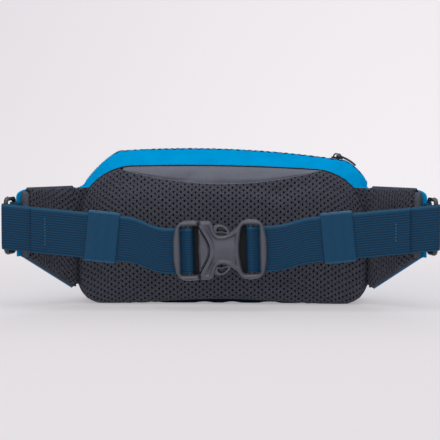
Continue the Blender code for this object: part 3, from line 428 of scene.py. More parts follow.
def stitches(name, lines, body, material, length=0.0021, gap=0.0010, radius=0.00022, lift=0.0001):
    """Sewn lines: a short thread for each stitch, sunk at both ends. Each line is points and normals."""
    parts = []
    for points, normals in lines:
        points = np.asarray(points, float)
        total = np.sum(np.linalg.norm(np.diff(points, axis=0), axis=1))
        count = max(1, int(total / (length + gap)))
        fine = resample(np.concatenate([points, normals], axis=1), count * 8 + 1)
        for i in range(count):
            chosen = fine[i * 8:i * 8 + 6]
            arch = np.array([-0.4, 0.6, 1.0, 1.0, 0.6, -0.4])[:, None] * radius + lift
            path = chosen[:, :3] + chosen[:, 3:] * arch
            parts.append(tube_parts(path, radius, 5))
    item = joined(name, parts, material)
    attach(item, body)
    return item


def coil(name, points, outward, pitch, width, height, wire, material, phase=0.0):
    """A zip's coil: one wire wound along a path. outward gives the side its teeth reach to."""
    points = np.asarray(points, float)
    total = np.sum(np.linalg.norm(np.diff(points, axis=0), axis=1))
    turns = int(total / pitch)
    steps = 10
    fine = resample(np.concatenate([points, outward], axis=1), turns * steps + 1)
    centre, up = fine[:, :3], fine[:, 3:]
    along = np.gradient(centre, axis=0)
    along /= np.linalg.norm(along, axis=1, keepdims=True)
    across = np.cross(along, up)
    angle = 2 * math.pi * np.arange(len(fine)) / steps + phase
    path = centre + across * (width / 2 * squared(np.cos(angle), 0.6))[:, None]
    path = path + up * (height / 2 * np.sin(angle))[:, None]
    vertices, faces = tube_parts(path, wire, 5)
    return mesh_object(name, vertices, faces, material)


# ================================================================ materials
DYE_BLOTCH = 0.35            # how uneven a woven cloth's dye is


class Look:
    """A procedural material being put together on one Principled shader."""

    def __init__(self, name, roughness, metallic=0.0, specular=0.5, coat=0.0):
        self.material = bpy.data.materials.new(name)
        self.material.use_nodes = True
        self.tree = self.material.node_tree
        self.shader = self.tree.nodes["Principled BSDF"]
        for socket, value in (("Roughness", roughness), ("Metallic", metallic),
                              ("Specular IOR Level", specular), ("Coat Weight", coat)):
            self.shader.inputs[socket].default_value = value

    def node(self, kind, inputs=(), **settings):
        """A new node with its settings, and a number, a colour or another node's output in its sockets."""
        node = self.tree.nodes.new("ShaderNode" + kind)
        for key, value in settings.items():
            setattr(node, key, value)
        for socket, value in inputs:
            if isinstance(value, bpy.types.NodeSocket):
                self.tree.links.new(value, node.inputs[socket])
            else:
                node.inputs[socket].default_value = value
        return node

    def math(self, operation, *values):
        """One Math node's output."""
        return self.node("Math", enumerate(values), operation=operation).outputs[0]

    def spread(self, value, low, high):
        """A value from low to high, spread smoothly from 0 to 1."""
        inputs = (("Value", value), ("From Min", low), ("From Max", high))
        return self.node("MapRange", inputs, interpolation_type="SMOOTHSTEP").outputs[0]

    def blend(self, factor, first, second):
        """Two colours mixed by a factor."""
        inputs = (("Factor", factor), ("A", first), ("B", second))
        return self.node("Mix", inputs, data_type="RGBA").outputs["Result"]

    def noise(self, scale, detail=2.0, stretch=None):
        """Noise by the object's own place, stretched along an axis if asked."""
        place = self.node("TexCoord").outputs["Object"]
        if stretch:
            place = self.node("Mapping", (("Scale", stretch), ("Vector", place))).outputs[0]
        return self.node("TexNoise", (("Scale", scale), ("Detail", detail), ("Vector", place))).outputs["Fac"]

    def cloth(self):
        """The two lengths along a cloth, in millimetres, from its own map."""
        place = self.node("UVMap", uv_map="cloth").outputs[0]
        split = self.node("SeparateXYZ", ((0, place),))
        return split.outputs[0], split.outputs[1]

    def wave(self, value, pitch):
        """A sine of a length, with that pitch."""
        return self.math("SINE", self.math("MULTIPLY", value, 2 * math.pi / pitch))

    def bump(self, height, distance, strength=1.0):
        """Relief from a height between 0 and 1."""
        node = self.node("Bump", (("Strength", strength), ("Distance", distance), ("Height", height)))
        self.tree.links.new(node.outputs[0], self.shader.inputs["Normal"])

    def colour(self, value):
        """The base colour, from a node's output."""
        self.tree.links.new(value, self.shader.inputs["Base Color"])
        return self.material


def plain_weave(name, light, dark, pitch, roughness=0.8, relief=0.00008):
    """A cloth with a square weave, darker between its threads and unevenly dyed."""
    look = Look(name, roughness, specular=0.0)
    u, v = look.cloth()
    over = look.math("MULTIPLY", look.wave(u, pitch), look.wave(v, pitch))
    thread = look.math("MULTIPLY_ADD", over, 0.5, 0.5)
    uneven = look.math("MULTIPLY", look.noise(900.0), DYE_BLOTCH)
    soft = look.math("MULTIPLY", look.noise(70.0), DYE_BLOTCH)
    shade = look.math("ADD", look.math("MULTIPLY_ADD", thread, 0.5, uneven), soft)
    look.bump(thread, relief)
    return look.colour(look.blend(shade, dark, light))


def ribbed(name, light, dark, edge, rib, half, roughness=0.62, relief=0.00012):
    """Webbing: fine ribs along its length, crossed by the weave, with lighter edges."""
    look = Look(name, roughness, specular=0.2)
    u, v = look.cloth()
    slant = look.math("ADD", look.math("MULTIPLY", u, 2.2), v)
    ribs = look.math("MULTIPLY_ADD", look.wave(v, rib), 0.5, 0.5)
    cross = look.math("MULTIPLY_ADD", look.wave(slant, rib), 0.5, 0.5)
    height = look.math("MULTIPLY_ADD", ribs, 0.9, look.math("MULTIPLY", cross, 0.1))
    shade = look.math("MULTIPLY_ADD", height, 0.85, look.math("MULTIPLY", look.noise(500.0, 3.0), 0.25))
    body = look.blend(shade, dark, light)
    selvedge = look.spread(look.math("ABSOLUTE", v), half - 1.9, half - 1.2)
    look.bump(height, relief)
    return look.colour(look.blend(look.math("MULTIPLY", selvedge, 0.45), body, edge))


def spacer_look():
    """Spacer mesh: a knitted face with staggered oval holes, the holes painted near-black as the shade inside
    them.
    """
    look = Look("spacer_mesh", 0.9, specular=0.15)
    u, v = look.cloth()
    column = look.math("DIVIDE", u, HOLE_ACROSS * 1000)
    number = look.math("ROUND", column)
    across = look.math("SUBTRACT", column, number)
    row = look.math("MULTIPLY_ADD", number, 0.5, look.math("DIVIDE", v, HOLE_ALONG * 1000))
    along = look.math("SUBTRACT", row, look.math("ROUND", row))
    ax = look.math("MULTIPLY", across, HOLE_ACROSS / HOLE_HALF_ACROSS)
    ay = look.math("MULTIPLY", along, HOLE_ALONG / HOLE_HALF_ALONG)
    squares = look.math("ADD", look.math("MULTIPLY", ax, ax), look.math("MULTIPLY", ay, ay))
    reach = look.math("SQRT", squares)
    uneven = look.math("MULTIPLY_ADD", look.noise(600.0), 0.7, -0.35)
    yarn = look.spread(look.math("ADD", reach, uneven), 0.72, 1.30)
    speckle = look.spread(look.noise(1300.0, 3.0), 0.22, 0.80)
    knit = look.math("MULTIPLY_ADD", look.wave(u, 0.53), 0.12, speckle)
    face = look.blend(knit, srgb(42, 43, 52), srgb(88, 90, 101))
    look.bump(look.math("MULTIPLY_ADD", knit, 0.3, yarn), 0.0003)
    # painted shade: the holes are coloured near-black where the yarn mask falls off
    return look.colour(look.blend(yarn, srgb(6, 6, 15), face))


def moulded(name, light, dark, roughness, coat=0.0, metallic=0.0):
    """Moulded plastic or cast metal, with a fine grain and worn lighter places."""
    look = Look(name, roughness, metallic=metallic, coat=coat)
    grain = look.noise(2600.0, 2.0)
    worn = look.noise(120.0, 4.0)
    look.bump(grain, 0.00002, 0.5)
    rough = look.math("MULTIPLY_ADD", worn, 0.16, roughness - 0.08)
    look.tree.links.new(rough, look.shader.inputs["Roughness"])
    return look.colour(look.blend(worn, dark, light))


def spun(name, light, dark, roughness=0.7):
    """Twisted thread or a rolled seam, by the place in space."""
    look = Look(name, roughness, specular=0.2)
    strands = look.noise(1600.0, 2.0, (1.0, 2.2, 1.4))
    look.bump(strands, 0.00008)
    return look.colour(look.blend(look.spread(strands, 0.3, 0.7), dark, light))


MESH = spacer_look()
BLUE = plain_weave("bright_blue_nylon", srgb(0, 168, 234), srgb(0, 116, 176), 0.55, 0.75)
GREY = plain_weave("smooth_grey_cloth", srgb(122, 125, 137), srgb(90, 93, 104), 0.5)
NAVY = plain_weave("navy_cloth", srgb(12, 28, 48), srgb(5, 13, 25), 0.55)
HEM = plain_weave("hem_grey_binding", srgb(104, 107, 117), srgb(62, 64, 74), 0.8, relief=0.00015)
LINING = plain_weave("lining_cloth", srgb(150, 153, 160), srgb(112, 115, 122), 0.4, 0.6, 0.00004)
TAPE = plain_weave("zip_tape_cloth", srgb(34, 38, 50), srgb(14, 16, 24), 0.5)
WEBBING_LOOK = ribbed("navy_webbing", srgb(4, 62, 96), srgb(0, 32, 52), srgb(40, 92, 124), 2.0, 19.0)
ELASTIC = ribbed("satin_elastic", srgb(4, 72, 108), srgb(0, 44, 70), srgb(44, 98, 132), 0.9, 21.0, 0.42)
PLASTIC = moulded("grey_acetal", srgb(82, 84, 95), srgb(60, 62, 73), 0.34)
RING_PLASTIC = moulded("ring_nylon", srgb(40, 42, 50), srgb(18, 19, 24), 0.22, 0.3)
# near-black plastic: painted shade for the deep insides of the buckle's webbing windows
PAINTED_SHADE_PLASTIC = moulded("painted_shade_plastic", srgb(14, 15, 22), srgb(6, 7, 12), 0.75)
METAL = moulded("dark_zip_metal", srgb(52, 54, 60), srgb(16, 17, 20), 0.35, 0.0, 0.6)
RUBBER = moulded("dark_pull_rubber", srgb(44, 45, 52), srgb(20, 21, 26), 0.5)
COIL = moulded("zip_coil_nylon", srgb(30, 32, 40), srgb(10, 11, 15), 0.35)
SEAM_GREY = spun("grey_piping", srgb(132, 135, 146), srgb(92, 95, 106))
SEAM_MESH = spun("mesh_binding", srgb(84, 86, 96), srgb(44, 45, 54), 0.85)
SEAM_DARK = spun("dark_binding", srgb(34, 36, 46), srgb(12, 13, 20))
THREAD_BLUE = spun("blue_thread", srgb(12, 150, 214), srgb(0, 96, 150))
THREAD_NAVY = spun("navy_thread", srgb(66, 112, 146), srgb(34, 74, 106))
THREAD_GREY = spun("grey_thread", srgb(120, 122, 132), srgb(74, 76, 86))


# ================================================================ cloth pieces
def write_map(item, flat):
    """The map called cloth, from a place in millimetres for each vertex."""
    layer = item.data.uv_layers.new(name="cloth")
    corner = np.zeros(len(item.data.loops), dtype=np.int32)
    item.data.loops.foreach_get("vertex_index", corner)
    layer.data.foreach_set("uv", flat[corner].astype(np.float32).ravel())
    return item


def cloth_map(item, grid, sheets=2, centre=(0.5, 0.5)):
    """A map of a grid's lengths in millimetres, zero at the named share of the grid."""
    rows, columns = grid.shape[:2]
    along, up = lengths_over(grid, 1), lengths_over(grid, 0)
    middle, level = int(centre[0] * (columns - 1)), int(centre[1] * (rows - 1))
    along = along - along[:, middle:middle + 1]
    up = up - up[level:level + 1, :]
    flat = np.stack([along.ravel(), up.ravel()], axis=1) * 1000
    return write_map(item, np.concatenate([flat] * sheets))


def cloth(name, grid, thickness, material, replaced, body="pack"):
    """A cloth shell with its map, riding a body and standing for CAD nodes."""
    item = shell(name, grid, thickness, material)
    cloth_map(item, grid)
    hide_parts(*replaced)
    if body:
        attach(item, body)
    return item


def rolled(name, path, radius, material, body="pack", sides=8):
    """A rolled seam or piping along a path."""
    item = tube(name, path, radius, material, sides)
    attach(item, body)
    return item


# ---------------------------------------------------------------- the padded back
def spaced(low, high, step, height):
    """Places from low to high, a step apart along a curve whose height is given by a function."""
    fine = np.linspace(low, high, 4001)
    curve = height(fine)
    length = np.concatenate(([0.0], np.cumsum(np.hypot(np.diff(fine), np.diff(curve)))))
    count = int(length[-1] / step)
    wanted = (np.arange(count + 1) - count / 2) * step + length[-1] / 2
    wanted[0], wanted[-1] = 0.0, length[-1]
    return np.interp(wanted, length, fine)


def inflated_back():
    """The pad blown up as a closed cloth: how far its face moved, on a grid across the back."""
    rows, columns = 30, 56
    x = np.broadcast_to(np.linspace(-0.121, 0.121, columns), (rows, columns))
    low = bottom_height(x, 0.0) + 0.003
    high = top_height(x, 0.0) - 0.003
    z = low + (high - low) * np.linspace(0, 1, rows)[:, None]
    face = np.stack([x, back_y(x, z) * 0.9 - 0.001, z], axis=2)
    back = np.stack([x, np.full_like(x, 0.006), z], axis=2)
    coarse = slab("pad_simulation", face, back, MESH)
    remesh = coarse.modifiers.new("remesh", "REMESH")
    remesh.mode = "VOXEL"
    remesh.voxel_size = PAD_VOXEL
    graph = bpy.context.evaluated_depsgraph_get()
    closed = bpy.data.meshes.new_from_object(coarse.evaluated_get(graph))
    bpy.data.objects.remove(coarse)
    item = bpy.data.objects.new("pad_simulation", closed)
    bpy.context.scene.collection.objects.link(item)
    start = BVHTree.FromObject(item, bpy.context.evaluated_depsgraph_get())
    blown = item.modifiers.new("cloth", "CLOTH")
    blown.settings.use_pressure = True
    blown.settings.uniform_pressure_force = PAD_PRESSURE
    blown.settings.effector_weights.gravity = 0.0
    blown.settings.quality = 5
    for frame_number in range(1, 21):
        bpy.context.scene.frame_set(frame_number)
    graph = bpy.context.evaluated_depsgraph_get()
    end = BVHTree.FromObject(item, graph)
    moves = np.zeros((40, 80))
    for r, height in enumerate(np.linspace(0.0, 0.120, 40)):
        for c, across in enumerate(np.linspace(-HALF_WIDTH, HALF_WIDTH, 80)):
            origin = Vector((across, -0.2, height))
            before = start.ray_cast(origin, Vector((0, 1, 0)))[0]
            after = end.ray_cast(origin, Vector((0, 1, 0)))[0]
            if before and after:
                moves[r, c] = max(-PAD_CAP, min(PAD_CAP, after.y - before.y))
    bpy.data.objects.remove(item)
    bpy.context.scene.frame_set(1)
    for _ in range(3):
        padded = np.pad(moves, 1, mode="edge")
        around = padded[:-2, 1:-1] + padded[2:, 1:-1] + padded[1:-1, :-2] + padded[1:-1, 2:]
        moves = (around + 2 * moves) / 6
    return moves - moves[8:32, 10:70].mean()


def between(field, x, z):
    """A value of the inflated back's field at places across and up."""
    rows, columns = field.shape
    r = np.clip(np.asarray(z) / 0.120 * (rows - 1), 0, rows - 1.001)
    c = np.clip((np.asarray(x) + HALF_WIDTH) / (2 * HALF_WIDTH) * (columns - 1), 0, columns - 1.001)
    r0, c0 = r.astype(int), c.astype(int)
    fr, fc = r - r0, c - c0
    lower = field[r0, c0] * (1 - fc) + field[r0, c0 + 1] * fc
    upper = field[r0 + 1, c0] * (1 - fc) + field[r0 + 1, c0 + 1] * fc
    return lower * (1 - fr) + upper * fr


def pad_depth(x, z):
    """The padded back's surface, with the swell of the inflated cloth and a slight unevenness."""
    x, z = np.broadcast_arrays(np.asarray(x, float), np.asarray(z, float))
    base = back_y(x, z)
    inside = ease(-base / PAD_BULGE, 0.3, 0.9)
    swell = 0.0 if PAD_SWELL is None else between(PAD_SWELL, x, z)
    return base + inside * (0.6 * swell + 0.0007 * ripples(x, z, 0.045, 4))


def hole_reach(u, v):
    """How far places are from the nearest hole's middle, in half holes. u and v count holes."""
    number = np.round(u)
    across = (u - number) * HOLE_ACROSS / HOLE_HALF_ACROSS
    row = v + 0.5 * number
    along = (row - np.round(row)) * HOLE_ALONG / HOLE_HALF_ALONG
    return np.sqrt(across ** 2 + along ** 2)


def build_back_pad():
    """The padded mesh back, with each of its holes a pit in the surface."""
    columns = spaced(-HALF_WIDTH, HALF_WIDTH, HOLE_ACROSS / 4, lambda x: back_y(x, 0.055))
    rows, count = 190, len(columns)
    level, middle = rows // 2, (count - 1) // 2
    low, high = bottom_height(columns, 0.0), scoop_height(columns)
    t = 0.5 - 0.5 * np.cos(np.linspace(0, math.pi, rows))
    t = 0.55 * np.linspace(0, 1, rows) + 0.45 * t
    z = low + (high - low) * t[:, None]
    base = xyz(columns, pad_depth(columns, z), z)
    lengths = lengths_over(base, 0)
    v = (lengths - lengths[level:level + 1]) / HOLE_ALONG
    reach = hole_reach((np.arange(count) - middle) * 0.25, v)
    margin = np.minimum(lengths, lengths[-1:] - lengths)
    deep = PAD_PIT * (1 - ease(reach, *PIT_WALL)) * ease(margin, 0.002, 0.004)
    grid = base - grid_normals(base) * deep[:, :, None]
    tucked = grid[-1:].copy()
    tucked[:, :, 1] = np.minimum(tucked[:, :, 1] + 0.0035, -0.0002)
    grid = np.concatenate([grid, tucked])
    rows += 1
    top = (rows - 1) * count
    faces = grid_faces(rows, count) + [(c + 1, c, top + c, top + c + 1) for c in range(1, count - 2)]
    faces.append(tuple([top + 1, 1] + [r * count for r in range(rows)]))
    right = [r * count + count - 1 for r in range(rows - 1, -1, -1)]
    faces.append(tuple([count - 2, top + count - 2] + right))
    item = mesh_object("back_pad_mesh", grid.reshape(-1, 3), faces, MESH)
    cloth_map(item, np.concatenate([base, tucked]), 1, (middle / (count - 1), level / (rows - 1)))
    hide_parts("back_panel_cover", "back_panel_foam")
    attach(item, "pack")


def build_scoop():
    """The smooth grey panel above the mesh, with its seams."""
    half = SCOOP_HALF - 0.0022
    x = np.linspace(-half, half, 150)
    low = scoop_height(x) - 0.0006
    high = np.maximum(top_height(x, 0.0) - 0.0004, low + 0.0006)
    t = np.linspace(0, 1, 28)[:, None]
    z = low + (high - low) * t
    y = np.maximum(pad_depth(x, z) + 0.0008 + 0.0016 * (1 - ease(t, 0.0, 0.35)), -0.0125)
    y = y + 0.00035 * ripples(x, z, 0.018, 9) - 0.0002
    cloth("scoop_cloth", xyz(x, np.minimum(y, 0.0002), z), 0.0008, GREY, ("scoop_panel",))
    top = xyz(x, 0.0, top_height(x, 0.0))
    top = top - 0.0010 * outline_normals(top)
    rolled("scoop_top_seam", top, 0.0009, SEAM_GREY)
    edge = scoop_height(x)
    rolled("mesh_edge_seam", xyz(x, pad_depth(x, edge) + 0.0006, edge + 0.0002), 0.0005, THREAD_GREY)


def build_back_seams():
    """The dark bound seam round the back panel, where the pad meets the bag."""
    for part, upper, inset in (("upper", True, 0.0004), ("lower", False, 0.0010)):
        rolled(f"back_seam_{part}", outline(0.0006, upper, 260, inset), 0.0010, SEAM_DARK)


def gusset_grid(start, end, upper, columns, rows, swell, seed):
    """A gusset between two depths, swelling and wrinkling between its seams."""
    depths = np.linspace(start, end, rows)
    grid = np.stack([outline(y, upper, columns) for y in depths])
    normals = np.stack([outline_normals(row) for row in grid])
    along = np.linspace(0, 1, columns)[None, :] * (0.33 if upper else 0.30)
    share = np.linspace(0, 1, rows)[:, None]
    zip_side = 0.5 if upper else SEAM_MARGIN
    free = ease(share, 0.0, SEAM_MARGIN) * (1 - ease(share, 1 - zip_side, 1.0))
    bumps = swell * free + 0.0010 * ripples(along, depths[:, None], 0.026, seed) * free
    puckers = 0.0004 * np.sin(2 * math.pi * along / 0.009 + 2 * np.sin(along * 60)) * (1 - free)
    return grid + normals * (bumps + puckers)[:, :, None]


def build_gussets():
    """The blue top gusset and the navy lower gusset."""
    top = gusset_grid(0.0012, 0.0345, True, 330, 40, 0.0006, 21)
    along = np.linspace(-1, 1, top.shape[1])[None, :] * np.ones((top.shape[0], 1))
    sag = sum(fold(along, top[:, :, 1], *each) for each in TOP_FOLDS)
    top = top + np.stack([outline_normals(row) for row in top]) * sag[:, :, None]
    cloth("top_gusset_cloth", top, 0.0008, BLUE, ("top_gusset",))
    low = gusset_grid(0.0010, 0.0450, False, 330, 44, -0.0004, 33)
    cloth("lower_gusset_cloth", low[:, ::-1], 0.0008, NAVY, ("lower_gusset",))
    path = outline(0.0320, True, 300, -0.0003)
    stitches("gusset_stitching", [(path[8:-8], outline_normals(path)[8:-8])], "pack", THREAD_BLUE)


def front_grid(x, low, high, rows, seed):
    """Part of the front between two heights, slightly rumpled."""
    z = low + (high - low) * np.linspace(0, 1, rows)[:, None]
    return xyz(x, front_y(x, z) + 0.0005 * ripples(x, z, 0.05, seed) - 0.0004, z)


def build_front():
    """The front's fixed lower part and its upper part, which folds open with the zip."""
    x = HALF_WIDTH * np.sin(np.linspace(-1, 1, 260) * 1.5) / math.sin(1.5)
    lower = front_grid(x, bottom_height(x, BODY_DEPTH), FOLD_HEIGHT, 90, 41)
    cloth("front_lower_cloth", lower[:, ::-1], 0.0009, BLUE, ("front_panel_lower",))
    inside = x[np.abs(x) < HALF_WIDTH - 0.0004]
    high = np.maximum(top_height(inside, BODY_DEPTH) - 0.0004, FOLD_HEIGHT + 0.0004)
    upper = front_grid(inside, FOLD_HEIGHT, high, 40, 41)[:, ::-1]
    flap = cloth("front_upper_cloth", upper, 0.0009, BLUE, ("front_panel_upper",), None)
    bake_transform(flap)
    seam = outline(BODY_DEPTH + 0.0006, False, 260, 0.0011)
    rolled("front_seam_lower", seam, 0.0011, SEAM_DARK)
    seam = outline(BODY_DEPTH + 0.0004, True, 260, 0.0006)
    piping = tube("front_seam_upper", seam, 0.0009, THREAD_BLUE, 8)
    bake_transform(piping)


def pocket_y(x, z):
    """Depth of the front pocket's cover."""
    t = clamp01((z - POCKET_LOW) / (POCKET_TOP - POCKET_LOW))
    across = np.sqrt(np.maximum(1 - (np.abs(x) / POCKET_HALF) ** 6, 0.0))
    rise = np.sqrt(np.maximum(1 - np.abs(1 - t) ** 4, 0.0)) - (1 - POCKET_MOUTH_SHARE) * ease(t, 0.5, 1.0)
    return front_y(x, z) + 0.0015 + POCKET_BULGE * across * rise


def build_front_pocket():
    """The front pocket's cover, its hem, slanted tape, coil and stitching."""
    x = np.linspace(-POCKET_HALF, POCKET_HALF, 220)
    t = np.linspace(0, 1, 80)[:, None]
    z = POCKET_LOW + (POCKET_TOP - POCKET_LOW) * t
    y = pocket_y(x, z) + 0.0006 * ripples(x, z, 0.04, 55) * np.sin(math.pi * t) * 0.8
    cloth("front_pocket_cloth", xyz(x, y, z)[:, ::-1], 0.0009, BLUE, ("front_pocket_panel",))
    top = xyz(x, pocket_y(x, POCKET_TOP) - 0.0002, POCKET_TOP)
    rolled("front_pocket_hem", top[3:-3], 0.0010, THREAD_BLUE)
    share = np.linspace(0, 1, 12)[:, None]
    tape = xyz(np.linspace(-0.086, 0.086, 160), 0.0607 - 0.0045 * share, 0.0670 + 0.0100 * share)
    cloth("front_pocket_tape_cloth", tape[:, ::-1], 0.0007, TAPE, ("front_pocket_tape",))
    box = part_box("front_pocket_coil")
    path = xyz(np.linspace(-0.080, 0.080, 400), (box[0].y + box[1].y) / 2 - FRAME_Y,
               (box[0].z + box[1].z) / 2)
    up = np.broadcast_to(np.array([0.0, 0.912, 0.41]), path.shape)
    teeth = coil("front_pocket_teeth", path, up, 0.00115, 0.0018, 0.0014, 0.00033, COIL)
    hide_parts("front_pocket_coil")
    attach(teeth, "pack")
    edge_x = np.linspace(-POCKET_HALF + 0.003, POCKET_HALF - 0.003, 200)
    line = xyz(edge_x, pocket_y(edge_x, 0.0635) + 0.0002, 0.0635)
    normals = np.broadcast_to(np.array([0.0, 1.0, 0.0]), line.shape)
    stitches("front_pocket_stitching", [(line, normals)], "pack", THREAD_BLUE)


def build_main_zip():
    """Two tapes along the arched opening, each with its wound coil."""
    for tag, outer_y, coil_y, gap, turn, phase in (("rear", 0.0340, COIL_REAR_Y, -COIL_GAP, 1, 0.0),
                                                   ("front", 0.0450, COIL_FRONT_Y, COIL_GAP, -1, math.pi)):
        grid = np.stack([outline(y, True, 330) for y in np.linspace(outer_y, coil_y + gap, 9)])[:, ::turn]
        body = "pack" if tag == "rear" else None
        tape = cloth(f"zip_tape_{tag}_cloth", grid, 0.0007, TAPE, (f"zip_tape_{tag}",), body)
        path = outline(coil_y, True, 1200, 0.0002)
        up = outline_normals(path)
        teeth = coil(f"zip_teeth_{tag}", path, up, 0.0013, 0.0024, 0.0014, 0.00036, COIL, phase)
        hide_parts(f"zip_coil_{tag}")
        if tag == "rear":
            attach(teeth, "pack")
        else:
            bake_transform(tape)
            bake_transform(teeth)


def build_main_pull():
    """The slider's moulded pull: a soft loop that droops along the shoulder, with an open eye."""
    pivot = Vector((0.10049, 0.03990, 0.12693))
    droop = [(x, float(top_height(x, pivot.y)) + 0.0024) for x in (0.1075, 0.1105, 0.1135, 0.1160)]
    spine = smooth_through([(pivot.x - 0.0003, pivot.z), (0.1040, 0.1262)] + droop, 10)
    spine = resample(spine, 60)
    steps = np.gradient(spine, axis=0)
    steps /= np.linalg.norm(steps, axis=1, keepdims=True)
    share = np.linspace(0, 1, len(spine))
    half = 0.0022 + 0.0011 * np.sin(math.pi * clamp01(share * 0.9 + 0.1)) - 0.0012 * ease(share, 0.9, 1.0)
    near, far = (xyz(spine[:, 0], pivot.y + sign * half, spine[:, 1]) for sign in (-1, 1))
    loop = np.concatenate([near, far[::-1]])
    loop = resample(np.concatenate([loop, loop[:1]]), 121)[:-1]
    web, turn, width = spine[PULL_EYE_END:], steps[PULL_EYE_END:], half[PULL_EYE_END:] - 0.0002
    across = np.linspace(-1, 1, 9)[:, None]
    sheets = [xyz(web[:, 0] - turn[:, 1] * lift, pivot.y + across * width, web[:, 1] + turn[:, 0] * lift)
              for lift in (0.00055, -0.00055)]
    parts = [tube_parts(loop, 0.0009, 10, closed=True), two_sheets(*sheets)]
    item = joined("zip_pull_loop", parts, RUBBER)
    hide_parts("zip_pull")
    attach(item, "main_pull")


# ---------------------------------------------------------------- wings
def wing_points(side, along, out, z):
    """Points of a wing from arrays of length along, distance out and height."""
    x = WING_ROOT[0] + WING_DIRECTION.x * along - WING_DIRECTION.y * out
    y = WING_ROOT[1] + WING_DIRECTION.y * along + WING_DIRECTION.x * out
    return xyz(side * x, y, z)


def wing_low(along):
    """Height of the wing's lower edge."""
    return WING_ROOT_LOW + (WING_END_LOW - WING_ROOT_LOW) * np.minimum(along / WING_LENGTH, 1.1)


def wing_swell(a, t):
    """How full the wing's padding is at a place, thin at its edges."""
    ends = np.sqrt(np.maximum(1 - np.abs(2 * clamp01(a / WING_LENGTH) - 1) ** 6, 0.0))
    return ends * np.sqrt(np.maximum(1 - np.abs(2 * t - 1) ** 8, 0.0))


def wing_grid(side, start, end, out, columns, rows, swell=0.0, seed=0, drop=0.0):
    """A grid over one face of a wing, swelling from its plane and reaching lower by a drop."""
    along = np.linspace(start, end, columns)
    t = np.linspace(0, 1, rows)[:, None]
    low = wing_low(along) - drop
    turned = clamp01((along - WING_LENGTH + 0.004) / 0.013)
    high = WING_TOP - 0.0060 * (1 - np.sqrt(1 - turned ** 2))
    z = low + (high - low) * t
    uneven = 1 + 0.18 * ripples(along, z, 0.022, seed)
    return wing_points(side, along, out + swell * wing_swell(along, t) * uneven, z)


def build_wing(side, tag, body):
    """One hip wing: padded mesh face, blue shell, rolled grey hem and sewn ring anchor."""
    face = wing_grid(side, 0.0, WING_LENGTH, -0.0029, 62, 130, -0.0022, 70 + side)
    face = face + pit_depths(face, side)
    back = wing_grid(side, 0.0, WING_LENGTH, 0.0030, 62, 130)
    order = slice(None) if side > 0 else slice(None, None, -1)
    item = slab(f"wing_pad_mesh_{tag}", face[:, order], back[:, order], MESH)
    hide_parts(f"wing_mesh_{tag}", f"wing_foam_{tag}")
    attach(item, body)
    reach = WING_LENGTH + SHELL_OVERHANG
    outer = wing_grid(side, 0.0, reach, 0.0042, 70, 60, 0.0003, 80 + side, drop=0.0016)[:, ::-1][:, order]
    cloth(f"wing_shell_cloth_{tag}", outer, 0.0009, BLUE, (f"wing_shell_{tag}",), body)
    build_hem(side, tag, body)
    build_anchor(side, tag, body)
    along = np.linspace(0.001, WING_LENGTH, 60)
    for edge, z in (("top", WING_TOP - 0.0006), ("bottom", wing_low(along) + 0.0006)):
        rolled(f"wing_edge_{edge}_{tag}", wing_points(side, along, 0.0006, z), 0.0021, SEAM_MESH, body)


def build_wing_root(side, tag):
    """The soft joint between the bag's side and a wing, which bends with it."""
    t = np.linspace(0, 1, 60)[:, None]
    z = WING_ROOT_LOW + 0.002 + (0.1005 - WING_ROOT_LOW - 0.002) * t
    share = np.linspace(0, 1, 14)[None, :]
    for layer, y_bag, out, material in (("inner", -0.0030, -0.0034, MESH), ("outer", 0.0050, 0.0034, BLUE)):
        x0 = np.minimum(0.1252, edge_reach(z) - 0.0008)
        end = wing_points(1, 0.0035, out, z)
        x = x0 + (end[..., 0] - x0) * share
        y = y_bag + (end[..., 1] - y_bag) * ease(share, 0.0, 1.0)
        grid = xyz(side * x, y, z)
        grid = grid if (layer == "inner") == (side > 0) else grid[:, ::-1]
        item = shell(f"wing_root_{layer}_{tag}", grid, 0.0008, material)
        cloth_map(item, grid)
        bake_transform(item)


def edge_reach(z):
    """How far out the bag's back outline reaches at a height."""
    x = np.linspace(0.05, HALF_WIDTH, 800)
    top = top_height(x, 0.0)
    return np.interp(np.asarray(z, float), top[::-1], x[::-1])


def pit_depths(grid, side):
    """The mesh's pits over a wing's grid, as moves inward."""
    across, up = lengths_over(grid, 1), lengths_over(grid, 0)
    across = across - across[:, [(grid.shape[1] - 1) // 2]]
    up = up - up[[(grid.shape[0] - 1) // 2], :]
    reach = hole_reach(across / HOLE_ACROSS, up / HOLE_ALONG)
    outward = np.array([-WING_DIRECTION.y * side, WING_DIRECTION.x, 0.0])
    return WING_PIT * (1 - ease(reach, *PIT_WALL))[:, :, None] * outward


